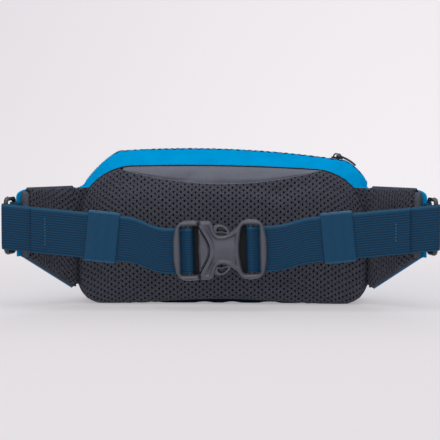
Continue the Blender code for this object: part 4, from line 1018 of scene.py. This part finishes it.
def build_hem(side, tag, body):
    """The wing's outer edge, bound in a rolled grey hem with a line of stitches."""
    rows, around = 60, 16
    t = np.linspace(0, 1, rows)[:, None]
    z = WING_END_LOW + 0.0008 + (WING_TOP - WING_END_LOW - 0.0028) * t
    angle = np.linspace(0, 2 * math.pi, around, endpoint=False)[None, :]
    narrowed = np.sqrt(np.maximum(1 - clamp01((t - 0.94) / 0.07) ** 2, 0.04))
    along = WING_LENGTH + 0.0030 + 0.0029 * squared(np.cos(angle), 0.7)
    out = narrowed * HEM_DEPTH * squared(np.sin(angle), 0.7) * (1 + 0.05 * np.sin(z * 900))
    grid = wing_points(side, along, out, z)
    faces = grid_faces(rows, around, flip=side < 0, around=True)
    faces.append(tuple(range(around))[::side])
    faces.append(tuple((rows - 1) * around + c for c in range(around))[::-side])
    item = mesh_object(f"wing_hem_roll_{tag}", grid.reshape(-1, 3), faces, HEM, angle=60)
    cloth_map(item, grid, sheets=1)
    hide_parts(f"wing_hem_{tag}")
    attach(item, body)
    height = np.linspace(WING_END_LOW + 0.003, WING_TOP - 0.003, 60)
    path = wing_points(side, WING_LENGTH + 0.0014, -HEM_DEPTH - 0.0001, height)
    inward = np.broadcast_to(np.array([side * WING_DIRECTION.y, -WING_DIRECTION.x, 0.0]), path.shape)
    stitches(f"wing_hem_stitching_{tag}", [(path, inward)], body, THREAD_GREY)


def arc_points(centre, radius, start, end, steps):
    """Points of an arc, angles in degrees."""
    angles = np.radians(np.linspace(start, end, steps + 1))
    return np.stack([centre[0] + radius * np.cos(angles), centre[1] + radius * np.sin(angles)], axis=1)


def build_anchor(side, tag, body):
    """The webbing sewn to the wing's outside and wrapped round the ring's inner bar."""
    out, half = 0.0058, 0.0006
    path = [(0.018, out), (0.033, out), (RING_INNER_ALONG - 0.006, out)]
    path += [tuple(p) for p in arc_points((RING_INNER_ALONG, RING_INNER_OUT), ANCHOR_LOOP, 75, -90, 16)]
    path += [(RING_INNER_ALONG - 0.0045, RING_INNER_OUT - ANCHOR_LOOP + 0.0004)]
    across = np.linspace(-WEBBING_WIDTH / 2, WEBBING_WIDTH / 2, 40)
    grid = np.stack([wing_points(side, a, o, RING_Z + across) for a, o in resample(path, 90)], axis=1)
    grid = (grid + side * half * grid_normals(grid))[:, ::-1]
    replaced = (f"wing_anchor_{tag}",)
    cloth(f"wing_anchor_webbing_{tag}", grid, 2 * half, WEBBING_LOOK, replaced, body)
    lines = []
    for share in np.linspace(-0.86, 0.86, 5):
        along = np.linspace(0.020, 0.034, 30)
        line = wing_points(side, along, out + 0.0008, RING_Z + share * WEBBING_WIDTH / 2)
        outward = np.array([side * -WING_DIRECTION.y, WING_DIRECTION.x, 0.0])
        lines.append((line, np.broadcast_to(outward, line.shape)))
    stitches(f"wing_anchor_stitching_{tag}", lines, body, THREAD_NAVY)


# ---------------------------------------------------------------- belt
def belt_height(x):
    """Height of the webbing's middle: level at the buckle, climbing to the rings."""
    line = RING_Z - 0.0007 - BELT_SLOPE * (RING_OUTER_X - np.abs(x))
    return BUCKLE_HEIGHT + (line - BUCKLE_HEIGHT) * ease(np.abs(x), 0.042, 0.076)


def strap_path():
    """The webbing's middle in plan: tail, round the buckle's bar, back and round the ring's bar."""
    run = RUN_Y
    end = RING_OUTER_X
    path = [(TAIL_END_X, run - LAYER_PITCH - 0.0018), (end - 0.0385, run - LAYER_PITCH - 0.0006),
            (end - 0.0525, run - LAYER_PITCH), (KEEPER_X, run - LAYER_PITCH), (0.070, run - LAYER_PITCH),
            (0.056, run - LAYER_PITCH + 0.0012), (0.045, BELT_Y - 0.0006), (0.037, BELT_Y - 0.0003),
            (0.0325, BELT_Y - 0.0006)]
    path += [tuple(p) for p in arc_points((BAR_X, BELT_Y), BAR_LOOP, -60, -295, 22)]
    path += [(0.0325, BELT_Y + 0.0018), (0.037, BELT_Y + 0.0018), (0.045, BELT_Y + 0.0016),
             (0.056, BELT_Y + 0.0008), (0.070, run), (KEEPER_X, run), (end - 0.0525, run),
             (end - 0.0385, run - 0.0006), (TAIL_END_X, run - 0.0018),
             (end - 0.0105, BELT_Y - RING_LOOP + 0.0003)]
    path += [tuple(p) for p in arc_points((end, BELT_Y), RING_LOOP, -100, 90, 20)]
    path += [(end - 0.0050, BELT_Y + 0.0026), (end - 0.0105, run + 0.0004), (end - 0.0185, run + 0.0003)]
    return resample(path, 520)


def tilt_with_buckle(x, y, z):
    """Points of the webbing, turned with the buckle where they are close to it."""
    angle = -BUCKLE_TILT * (1 - ease(np.abs(x), 0.042, 0.076))
    rise = z - BUCKLE_HEIGHT
    turned_x = x * np.cos(angle) + rise * np.sin(angle)
    turned_z = BUCKLE_HEIGHT - x * np.sin(angle) + rise * np.cos(angle)
    return np.stack([turned_x, y, turned_z], axis=-1)


def webbing_piece(name, path, side, across=30):
    """One stretch of webbing along a path in plan, rounded at its edges."""
    width = np.linspace(-WEBBING_WIDTH / 2, WEBBING_WIDTH / 2, across)[:, None]
    steps = np.gradient(path, axis=0)
    steps /= np.linalg.norm(steps, axis=1, keepdims=True)
    thin = WEBBING / 2 * (1 - 0.55 * (np.abs(width) / (WEBBING_WIDTH / 2)) ** 14)
    sides = []
    for sign in (1, -1):
        x = path[:, 0] + sign * thin * steps[:, 1]
        y = path[:, 1] + sign * thin * -steps[:, 0]
        z = belt_height(path[:, 0]) + width
        wavy = 0.00012 * np.sin(x * 260) * np.sin(z * 90)
        sides.append(tilt_with_buckle(side * x, y + wavy, z)[:, ::side])
    item = slab(name, *sides, WEBBING_LOOK)
    return item


def build_strap(side, tag):
    """One side of the belt: tail, both layers and the roll round the buckle's bar."""
    path = strap_path()
    inner = path[:, 0] < KEEPER_X
    first = int(np.argmax(inner))
    last = len(path) - int(np.argmax(inner[::-1])) - 1
    tail = webbing_piece(f"strap_tail_{tag}", path[:first + 1], side)
    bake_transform(tail)
    run = webbing_piece(f"strap_run_{tag}", path[last:], side)
    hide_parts(f"strap_{tag}")
    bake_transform(run)
    middle = path[first:last + 1]
    if side > 0:
        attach(webbing_piece(f"strap_inner_{tag}", middle, side), "pack")
        return
    near = middle[:, 0] < ROLL_EDGE
    begin = int(np.argmax(near))
    finish = len(middle) - int(np.argmax(near[::-1])) - 1
    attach(webbing_piece(f"strap_roll_{tag}", middle[begin:finish + 1], side), "male_half")
    for layer, part in (("front", middle[:begin + 1]), ("rear", middle[finish:])):
        item = webbing_piece(f"strap_inner_{layer}_{tag}", part, side)
        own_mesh(item)
        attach(item, "pack")


def build_strap_stitches(side, tag):
    """Bar tacks across the webbing behind the folded end of the tail."""
    lines = []
    reach = 0.62 if side < 0 else 0.42
    outer = RUN_Y - LAYER_PITCH
    share = np.linspace(-reach, reach, 60)
    for place in (0.1450, 0.1455, 0.1460):
        x = np.full_like(share, place)
        y = np.interp(x, [0.126, 0.140, 0.157], [outer, outer - 0.0006, outer - 0.0018])
        points = tilt_with_buckle(side * x, y - WEBBING / 2, belt_height(x) + share * WEBBING_WIDTH / 2)
        lines.append((points, np.broadcast_to(np.array([0.0, -1.0, 0.0]), points.shape)))
    item = stitches(f"strap_bar_tacks_{tag}", lines, "pack", THREAD_NAVY, 0.0016, 0.0007, 0.00022)
    item.parent = None
    item.matrix_world = Matrix.Identity(4)
    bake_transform(item)


def build_keeper(side, tag):
    """A satin elastic loop round both layers of the strap."""
    middle_y = RUN_Y - LAYER_PITCH / 2
    tilt = -side * math.atan(BELT_SLOPE)
    depth = LAYER_PITCH + WEBBING + 2 * KEEPER_ROOM
    height = WEBBING_WIDTH + 2 * KEEPER_ROOM + KEEPER_WIDTH / 2 * BELT_SLOPE
    corner = 0.0020
    section = []
    for right, high, start in ((1, 1, 0), (-1, 1, 90), (-1, -1, 180), (1, -1, 270)):
        centre = (right * (depth / 2 - corner), high * (height / 2 - corner))
        section += [tuple(p) for p in arc_points(centre, corner, start, start + 90, 8)]
    section = resample(section + [section[0]], 161)[:-1]
    rows, across = len(section), 28
    width = np.linspace(-KEEPER_WIDTH / 2, KEEPER_WIDTH / 2, across)
    edge = np.abs(width) / (KEEPER_WIDTH / 2)
    grids = []
    for thickness in (0.0, 0.0009):
        shrink = thickness + 0.00035 * (edge ** 10) * (1 if thickness == 0 else -1)
        y = section[:, 0][:, None] * np.maximum(1 - 2 * shrink / depth, 0.1)
        z = section[:, 1][:, None] * np.maximum(1 - 2 * shrink / height, 0.1)
        bow = 0.0002 * np.sin(width * 700)[None, :] * (np.abs(section[:, 1]) < height / 2 - 0.002)[:, None]
        turned_x = width * math.cos(tilt) + z * math.sin(tilt)
        turned_z = -width * math.sin(tilt) + z * math.cos(tilt)
        level = float(belt_height(KEEPER_X))
        grids.append(xyz(side * KEEPER_X + turned_x, middle_y + y - bow, level + turned_z))
    count = rows * across
    faces = []
    for r in range(rows):
        here, below = r * across, (r + 1) % rows * across
        for c in range(across - 1):
            faces.append((here + c, here + c + 1, below + c + 1, below + c))
            faces.append((count + below + c, count + below + c + 1, count + here + c + 1, count + here + c))
        for c, turn in ((0, 1), (across - 1, -1)):
            faces.append((here + c, below + c, count + below + c, count + here + c)[::turn])
    vertices = np.concatenate([grid.reshape(-1, 3) for grid in grids])
    item = mesh_object(f"keeper_elastic_{tag}", vertices, faces, ELASTIC, angle=70)
    flat = xyz(width, section[:, 1][:, None], 0.0)[..., :2].reshape(-1, 2) * 1000
    write_map(item, np.concatenate([flat, flat]))
    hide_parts(f"keeper_{tag}")
    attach(item, f"{tag}_keeper")


# ---------------------------------------------------------------- buckle
def loop_edges(loop):
    """The edges of a closed loop of points."""
    loop = np.asarray(loop, float)
    return list(zip(loop, np.roll(loop, -1, axis=0)))


def polygon_distance(px, pz, polygon):
    """Signed distance of points to a closed polygon, positive inside."""
    edges = loop_edges(polygon)
    best = edge_distance(px, pz, edges)
    inside = np.zeros(px.shape, bool)
    for a, b in edges:
        crosses = (a[1] > pz) != (b[1] > pz)
        if crosses.any():
            rise = b[1] - a[1]
            inside ^= crosses & (px < a[0] + (pz - a[1]) * (b[0] - a[0]) / (rise if rise else 1e-18))
    return np.where(inside, best, -best)


def smooth_through(points, steps, closed=False):
    """A Catmull-Rom curve through points, with the given steps on each span."""
    points = [np.asarray(p, float) for p in points]
    count = len(points)
    result = []
    for i in range(count if closed else count - 1):
        if closed:
            a, b, c, d = (points[(i + k) % count] for k in (-1, 0, 1, 2))
        else:
            a, b, c, d = (points[min(max(i + k, 0), count - 1)] for k in (-1, 0, 1, 2))
        for t in np.arange(steps) / steps:
            result.append(0.5 * (2 * b + (c - a) * t + (2 * a - 5 * b + 4 * c - d) * t * t
                                 + (3 * b - a - 3 * c + d) * t ** 3))
    if not closed:
        result.append(points[-1])
    return result


def mirrored(half):
    """A closed outline from its upper half, whose first and last points lie at z = 0."""
    return list(half) + [(x, -z) for x, z in list(half)[-2:0:-1]]


def buckle_place(points):
    """Points of the buckle's own frame, tilted and moved to the belt."""
    points = np.asarray(points, float)
    x = points[..., 0] * math.cos(BUCKLE_TILT) - points[..., 2] * math.sin(BUCKLE_TILT)
    z = points[..., 0] * math.sin(BUCKLE_TILT) + points[..., 2] * math.cos(BUCKLE_TILT)
    return np.stack([x, points[..., 1] + BELT_Y, z + BUCKLE_HEIGHT], axis=-1)


def edge_distance(px, pz, edges):
    """Distance of points to the nearest of some edges."""
    points = np.stack([px.ravel(), pz.ravel()], axis=1)
    best = np.full(len(points), 1e9)
    for a, b in edges:
        edge = b - a
        share = clamp01(((points - a) @ edge) / max(edge @ edge, 1e-18))
        gap = points - (a + share[:, None] * edge)
        best = np.minimum(best, np.hypot(gap[:, 0], gap[:, 1]))
    return best.reshape(px.shape)


def relief_plate(name, outline_points_xz, holes, half, rim, dish, body, replaced, step=0.00035, crisp=None):
    """A moulded plate: rounded at its edges but crisp along one, its face dished by a function of place."""
    shape = np.asarray(outline_points_xz, float)
    low, high = shape.min(axis=0) - 2 * step, shape.max(axis=0) + 2 * step
    px, pz = np.meshgrid(np.arange(low[0], high[0], step), np.arange(low[1], high[1], step))

    def distance(x, z):
        value = polygon_distance(x, z, shape)
        for hole in holes:
            value = np.minimum(value, -polygon_distance(x, z, hole))
        return value

    depth = distance(px, pz)
    cells = (depth[:-1, :-1] + depth[1:, :-1] + depth[:-1, 1:] + depth[1:, 1:]) / 4 > 0
    full = np.zeros(px.shape, int)
    for dz in (0, 1):
        for dx in (0, 1):
            full[dz:dz + cells.shape[0], dx:dx + cells.shape[1]] += cells
    used = full > 0
    border = used & (full < 4)
    bx, bz = px[border], pz[border]
    for _ in range(3):
        here = distance(bx, bz)
        gx = (distance(bx + 1e-5, bz) - distance(bx - 1e-5, bz)) / 2e-5
        gz = (distance(bx, bz + 1e-5) - distance(bx, bz - 1e-5)) / 2e-5
        size = np.maximum(gx ** 2 + gz ** 2, 0.25)
        bx, bz = bx - here * gx / size, bz - here * gz / size
    px[border], pz[border] = bx, bz
    depth = np.maximum(distance(px, pz), 0.0)
    depth[border] = 0.0
    soft_edges, crisp_edges = [], []
    for loop in [shape] + list(holes):
        for a, b in loop_edges(loop):
            (crisp_edges if crisp is not None and crisp(a) and crisp(b) else soft_edges).append((a, b))
    rounded = clamp01(edge_distance(px, pz, soft_edges) / rim)
    if crisp_edges:
        rounded = np.minimum(rounded, clamp01(edge_distance(px, pz, crisp_edges) / 0.0006 + 0.25))
    rounded[border] = np.minimum(rounded[border], 0.25)
    back = half * (0.35 + 0.65 * np.sqrt(np.maximum(1 - (1 - rounded) ** 2, 0.0)))
    front = -back + dish(px, pz, depth)
    count = int(used.sum())
    index = np.full(px.shape, -1)
    index[used] = np.arange(count)
    vertices = np.concatenate([np.stack([px[used], y[used], pz[used]], axis=1) for y in (front, back)])
    faces = []
    edges = {}
    for r, c in zip(*np.nonzero(cells)):
        loop = (index[r, c], index[r, c + 1], index[r + 1, c + 1], index[r + 1, c])
        faces += [loop, tuple(count + i for i in loop[::-1])]
        for edge in zip(loop, loop[1:] + loop[:1]):
            edges[edge] = True
    faces += [(b, a, a + count, b + count) for a, b in edges if (b, a) not in edges]
    item = mesh_object(name, buckle_place(vertices), faces, PLASTIC, angle=50)
    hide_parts(*replaced)
    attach(item, body)


def seam_curve(shift):
    """The curved joint between the two halves, from the top down to mid height."""
    points = []
    for share in np.arange(13) / 12:
        z = 0.0209 * (1 - share)
        x = -0.0176 + 0.0090 * math.cos(math.pi / 2 * (1 - share)) ** 1.3
        points.append((x + shift, z))
    return points


def slot_hole(outer, inner, bulge, high):
    """A webbing window, with one side bulging towards the buckle's middle."""
    corner = 0.0012
    sign = 1 if outer > inner else -1
    points = [(outer, -high + corner), (outer, high - corner), (outer - sign * corner, high),
              (inner + sign * corner, high), (inner, high - corner)]
    for share in np.linspace(0.85, -0.85, 15):
        points.append((inner - sign * bulge * (1 - share ** 2), share * high))
    points += [(inner, -high + corner), (inner + sign * corner, -high), (outer - sign * corner, -high)]
    return points


def build_prongs():
    """The two sprung arms of the male half, each with its scooped face."""
    arm = smooth_through([(-0.0115, 0.0113), (-0.0117, 0.0150), (-0.0065, 0.0176), (-0.0040, 0.0207),
                          (0.0020, 0.0209), (0.0075, 0.0172), (0.0096, 0.0130), (0.0075, 0.0118),
                          (0.0010, 0.0140), (-0.0050, 0.0125)], 4, closed=True)
    scoop = smooth_through([(-0.0022, 0.0158), (-0.0012, 0.0186), (0.0020, 0.0190), (0.0055, 0.0162),
                            (0.0058, 0.0146), (0.0015, 0.0158)], 4, closed=True)
    for side, word in ((1, "upper"), (-1, "lower")):
        rim = [(p[0], side * p[1]) for p in scoop]

        def scooped(x, z, d, rim=rim):
            return 0.0065 * ease(polygon_distance(x, z, rim), -0.0002, 0.0006)

        relief_plate(f"prong_{word}_arm", [(p[0], side * p[1]) for p in arm], [], 0.0040, 0.0010, scooped,
                     f"{word}_prong", (f"prong_{word}",), 0.0003)


def build_buckle():
    """The side-release buckle: two halves with rounded rails, a dished middle and sprung arms."""
    housing = [(0.0392, 0.0), (0.0387, 0.0100), (0.0364, 0.0195), (0.0315, 0.0240), (0.0240, 0.0250),
               (0.0180, 0.0230), (0.0128, 0.0172), (0.0060, 0.0132), (-0.0005, 0.0126), (-0.0035, 0.0158),
               (-0.0052, 0.0205), (-0.0080, 0.0240), (-0.0160, 0.0243)]
    rail = [(-0.0391, 0.0), (-0.0387, 0.0100), (-0.0366, 0.0190), (-0.0318, 0.0241), (-0.0240, 0.0250),
            (-0.0180, 0.0244)]

    def middle_dish(x, z, d):
        plate = ease(d, 0.0024, 0.0046) * ease(x, -0.0150, -0.0070) * (1 - ease(x, 0.012, 0.0175))
        return plate * (0.0016 - 0.0006 * np.cos(math.pi * clamp01(np.abs(z) / 0.0140)))

    def nose_dish(x, z, d):
        nose = ease(x, -0.0195, -0.0165)
        steps = 0.0014 * nose * (1 - ease(d, 0.0009, 0.0014)) * (np.abs(z) < 0.0195)
        return steps + 0.0010 * nose * ease(d, 0.0002, 0.0030) * 0.3

    def on_seam(point):
        return -0.0178 < point[0] < -0.0080 and abs(point[1]) < 0.0212

    for word, body, half_outline, gap, window, dish in (
            ("female", "pack", housing, 0.0004, slot_hole(0.0331, 0.0190, 0.0030, 0.0203), middle_dish),
            ("male", "male_half", rail, -0.0001, slot_hole(-0.0329, -0.0172, -0.0004, 0.0203), nose_dish)):
        shape = mirrored([tuple(p) for p in smooth_through(half_outline, 4)] + seam_curve(gap))
        relief_plate(f"buckle_{word}_body", shape, [window], BUCKLE_HALF, RAIL_ROUND, dish, body,
                     (f"buckle_{word}",), crisp=on_seam)
    build_prongs()
    for side, body, word in ((1, "pack", "female"), (-1, "male_half", "male")):
        path = xyz(side * BAR_X, 0.0, np.linspace(-0.0215, 0.0215, 40))
        item = tube(f"buckle_bar_{word}", buckle_place(path), 0.0022, PLASTIC, 16)
        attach(item, body)
    # inner walls behind the webbing windows, coloured near-black as painted shade inside the windows
    sides = [(0, 1, 5, 4), (1, 2, 6, 5), (2, 3, 7, 6), (3, 0, 4, 7), (3, 2, 1, 0), (4, 5, 6, 7)]
    for word, body, low, high in (("female", "pack", 0.0140, 0.0222),
                                  ("male", "male_half", -0.0226, -0.0160)):
        corners = [(low, -0.0206), (high, -0.0206), (high, 0.0206), (low, 0.0206)]
        wall = buckle_place([(x, y, z) for y in (0.0036, 0.0052) for x, z in corners])
        item = mesh_object(f"buckle_inner_wall_{word}", wall, sides, PAINTED_SHADE_PLASTIC, smooth=False)
        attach(item, body)
    tongue = mirrored([(-0.0112, 0.0), (-0.0110, 0.0036), (0.0100, 0.0032), (0.0108, 0.0)])
    relief_plate("buckle_tongue", tongue, [], 0.0030, 0.0012, lambda x, z, d: 0.0 * x,
                 "male_half", (), 0.0004)


# ---------------------------------------------------------------- the inside
def build_inside():
    """The lining, its pocket and the key tether, as thin cloth."""
    half = 0.1192
    x = half * np.sin(np.linspace(-1, 1, 160) * 1.5) / math.sin(1.5)
    low = bottom_height(x * HALF_WIDTH / half * 0.985, 0.02) + 0.0045
    floor = np.stack([xyz(x, y, low + 0.0003) for y in np.linspace(0.0040, 0.0515, 40)])
    high = np.minimum(top_height(x * 1.03, 0.0), 0.1085)
    t = np.linspace(0, 1, 60)[:, None]
    back_z = high + (low - high) * t
    back = xyz(x, 0.0040 + 0.0004 * ripples(x, back_z, 0.04, 91), back_z)
    front_top = FOLD_HEIGHT - 0.001
    front_z = low + (front_top - low) * t
    face = np.minimum(front_y(x, front_z) - 0.0035, 0.0520)
    front = xyz(x, face + 0.0003 * ripples(x, front_z, 0.04, 92), front_z)
    grid = np.concatenate([back, floor[1:-1], front])
    cloth("lining_cloth_bag", grid, 0.0006, LINING, ("lining",))
    px = np.linspace(-0.0745, 0.0745, 120)
    tz = np.linspace(0, 1, 50)[:, None]
    pz = 0.0205 + 0.0573 * tz
    full = np.sqrt(np.maximum(1 - np.abs(px / 0.0745) ** 6, 0)) * np.sqrt(
        np.maximum(1 - np.abs(1 - tz * 0.9 - 0.1) ** 3, 0))
    pocket = xyz(px, 0.0052 + 0.0024 * full + 0.0002 * ripples(px, pz, 0.02, 93), pz)
    cloth("inner_pocket_cloth", pocket[:, ::-1], 0.0006, LINING, ("inner_pocket",))
    rolled("inner_pocket_hem", xyz(px, 0.0056 + 0.0024 * full[-1], 0.0778), 0.0007, THREAD_GREY)
    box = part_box("key_tether")
    y = (box[0].y + box[1].y) / 2 - FRAME_Y
    loop = [(y - 0.0017, 0.0970), (y - 0.0017, 0.0840)]
    loop += [tuple(p) for p in arc_points((y, 0.0820), 0.0017, 180, 360, 12)]
    loop = resample(loop + [(y + 0.0017, 0.0840), (y + 0.0013, 0.0970)], 60)
    tether = xyz(-0.094 + np.linspace(-0.0048, 0.0048, 14)[:, None], loop[:, 0], loop[:, 1])
    cloth("key_tether_webbing", tether, 0.0009, WEBBING_LOOK, ("key_tether",))


# ---------------------------------------------------------------- hard parts that keep their solids
def build_hard_parts():
    """Better materials for the CAD solids that stay."""
    for node, material in (("ring_left", RING_PLASTIC), ("ring_right", RING_PLASTIC),
                           ("key_hook", RING_PLASTIC), ("zip_slider", METAL),
                           ("front_pocket_slider", METAL), ("front_pocket_pull", RUBBER),
                           ("zip_garage_left", SEAM_DARK), ("zip_garage_right", SEAM_DARK)):
        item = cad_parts[node]
        item.data.materials.clear()
        item.data.materials.append(material)


# ---------------------------------------------------------------- the stage
FLOOR_COLOUR = (0.42, 0.405, 0.42, 1.0)
FLOOR_GLOW = (0.34, 0.33, 0.34, 1.0)
WORLD_STRENGTH = 0.60
LIGHTS = (
    ("key_above", (0.0, -0.5, 1.3), (0.0, 0.0, 0.05), 1.2, 0.8, 5.5),
    ("strip_highlight", (0.15, -0.7, 0.75), (0.0, -0.06, 0.07), 0.9, 0.08, 0.6),
    ("backdrop_light", (0.0, 0.5, 0.9), (0.0, 1.6, 0.45), 2.4, 0.5, 5.0),
    ("front_fill", (-0.5, -1.6, 0.6), (0.0, 0.0, 0.06), 1.4, 1.0, 4.0),
    ("front_light", (0.3, 1.4, 0.8), (0.0, 0.0, 0.06), 1.2, 0.8, 6.0),
)
LENS = 138.0
DISTANCE = 1.40
AZIMUTH = 2.0
ELEVATION = 4.0
AIM_X = 0.0
AIM_Z = 0.0768


def build_stage():
    """A pale floor and backdrop, soft light and the camera."""
    floor_look = bpy.data.materials.new("studio_floor")
    floor_look.use_nodes = True
    sockets = floor_look.node_tree.nodes["Principled BSDF"].inputs
    for socket, value in (("Base Color", FLOOR_COLOUR), ("Roughness", 0.9), ("Specular IOR Level", 0.0),
                          ("Emission Color", FLOOR_GLOW), ("Emission Strength", 1.0)):
        sockets[socket].default_value = value
    size, back, rise = 3.0, 1.6, 2.4
    profile = [(-size, 0.0), (back - 0.6, 0.0)]
    profile += [tuple(p) for p in arc_points((back - 0.6, 0.6), 0.6, -90, 0, 24)]
    profile += [(back, rise)]
    vertices = [(x, y - FRAME_Y, z) for x in (-size, size) for y, z in profile]
    count = len(profile)
    faces = [(count + i, count + i + 1, i + 1, i) for i in range(count - 1)]
    mesh_object("studio_floor", vertices, faces, floor_look)
    world = bpy.data.worlds.new("studio")
    bpy.context.scene.world = world
    world.use_nodes = True
    background = world.node_tree.nodes["Background"]
    background.inputs["Color"].default_value = (1.0, 1.0, 1.0, 1.0)
    background.inputs["Strength"].default_value = WORLD_STRENGTH
    for name, place, target, size_x, size_y, power in LIGHTS:
        data = bpy.data.lights.new(name, "AREA")
        data.shape = "RECTANGLE"
        data.size, data.size_y, data.energy = size_x, size_y, power
        lamp = bpy.data.objects.new(name, data)
        bpy.context.scene.collection.objects.link(lamp)
        lamp.location = place
        lamp.rotation_euler = (Vector(target) - Vector(place)).to_track_quat("-Z", "Y").to_euler()
    bpy.context.scene.view_settings.view_transform = "Standard"
    build_camera()


def build_camera():
    """A long lens a little above the belt, aimed at the bag's middle."""
    data = bpy.data.cameras.new("camera")
    data.lens = LENS
    data.sensor_width = 36.0
    camera = bpy.data.objects.new("camera", data)
    bpy.context.scene.collection.objects.link(camera)
    target = Vector((AIM_X, BELT_Y + FRAME_Y, AIM_Z))
    azimuth, elevation = math.radians(AZIMUTH), math.radians(ELEVATION)
    away = Vector((math.sin(azimuth) * math.cos(elevation), -math.cos(azimuth) * math.cos(elevation),
                   math.sin(elevation)))
    camera.location = target + away * DISTANCE
    camera.rotation_euler = (-away).to_track_quat("-Z", "Y").to_euler()
    bpy.context.scene.camera = camera


PAD_SWELL = inflated_back()
build_back_pad()
build_scoop()
build_back_seams()
build_gussets()
build_front()
build_front_pocket()
build_main_zip()
build_main_pull()
for wing_side, wing_tag, wing_body in ((-1, "left", "left_wing"), (1, "right", "right_wing")):
    build_wing(wing_side, wing_tag, wing_body)
    build_wing_root(wing_side, wing_tag)
    build_strap(wing_side, wing_tag)
    build_strap_stitches(wing_side, wing_tag)
    build_keeper(wing_side, wing_tag)
build_buckle()
build_inside()
build_hard_parts()
build_stage()
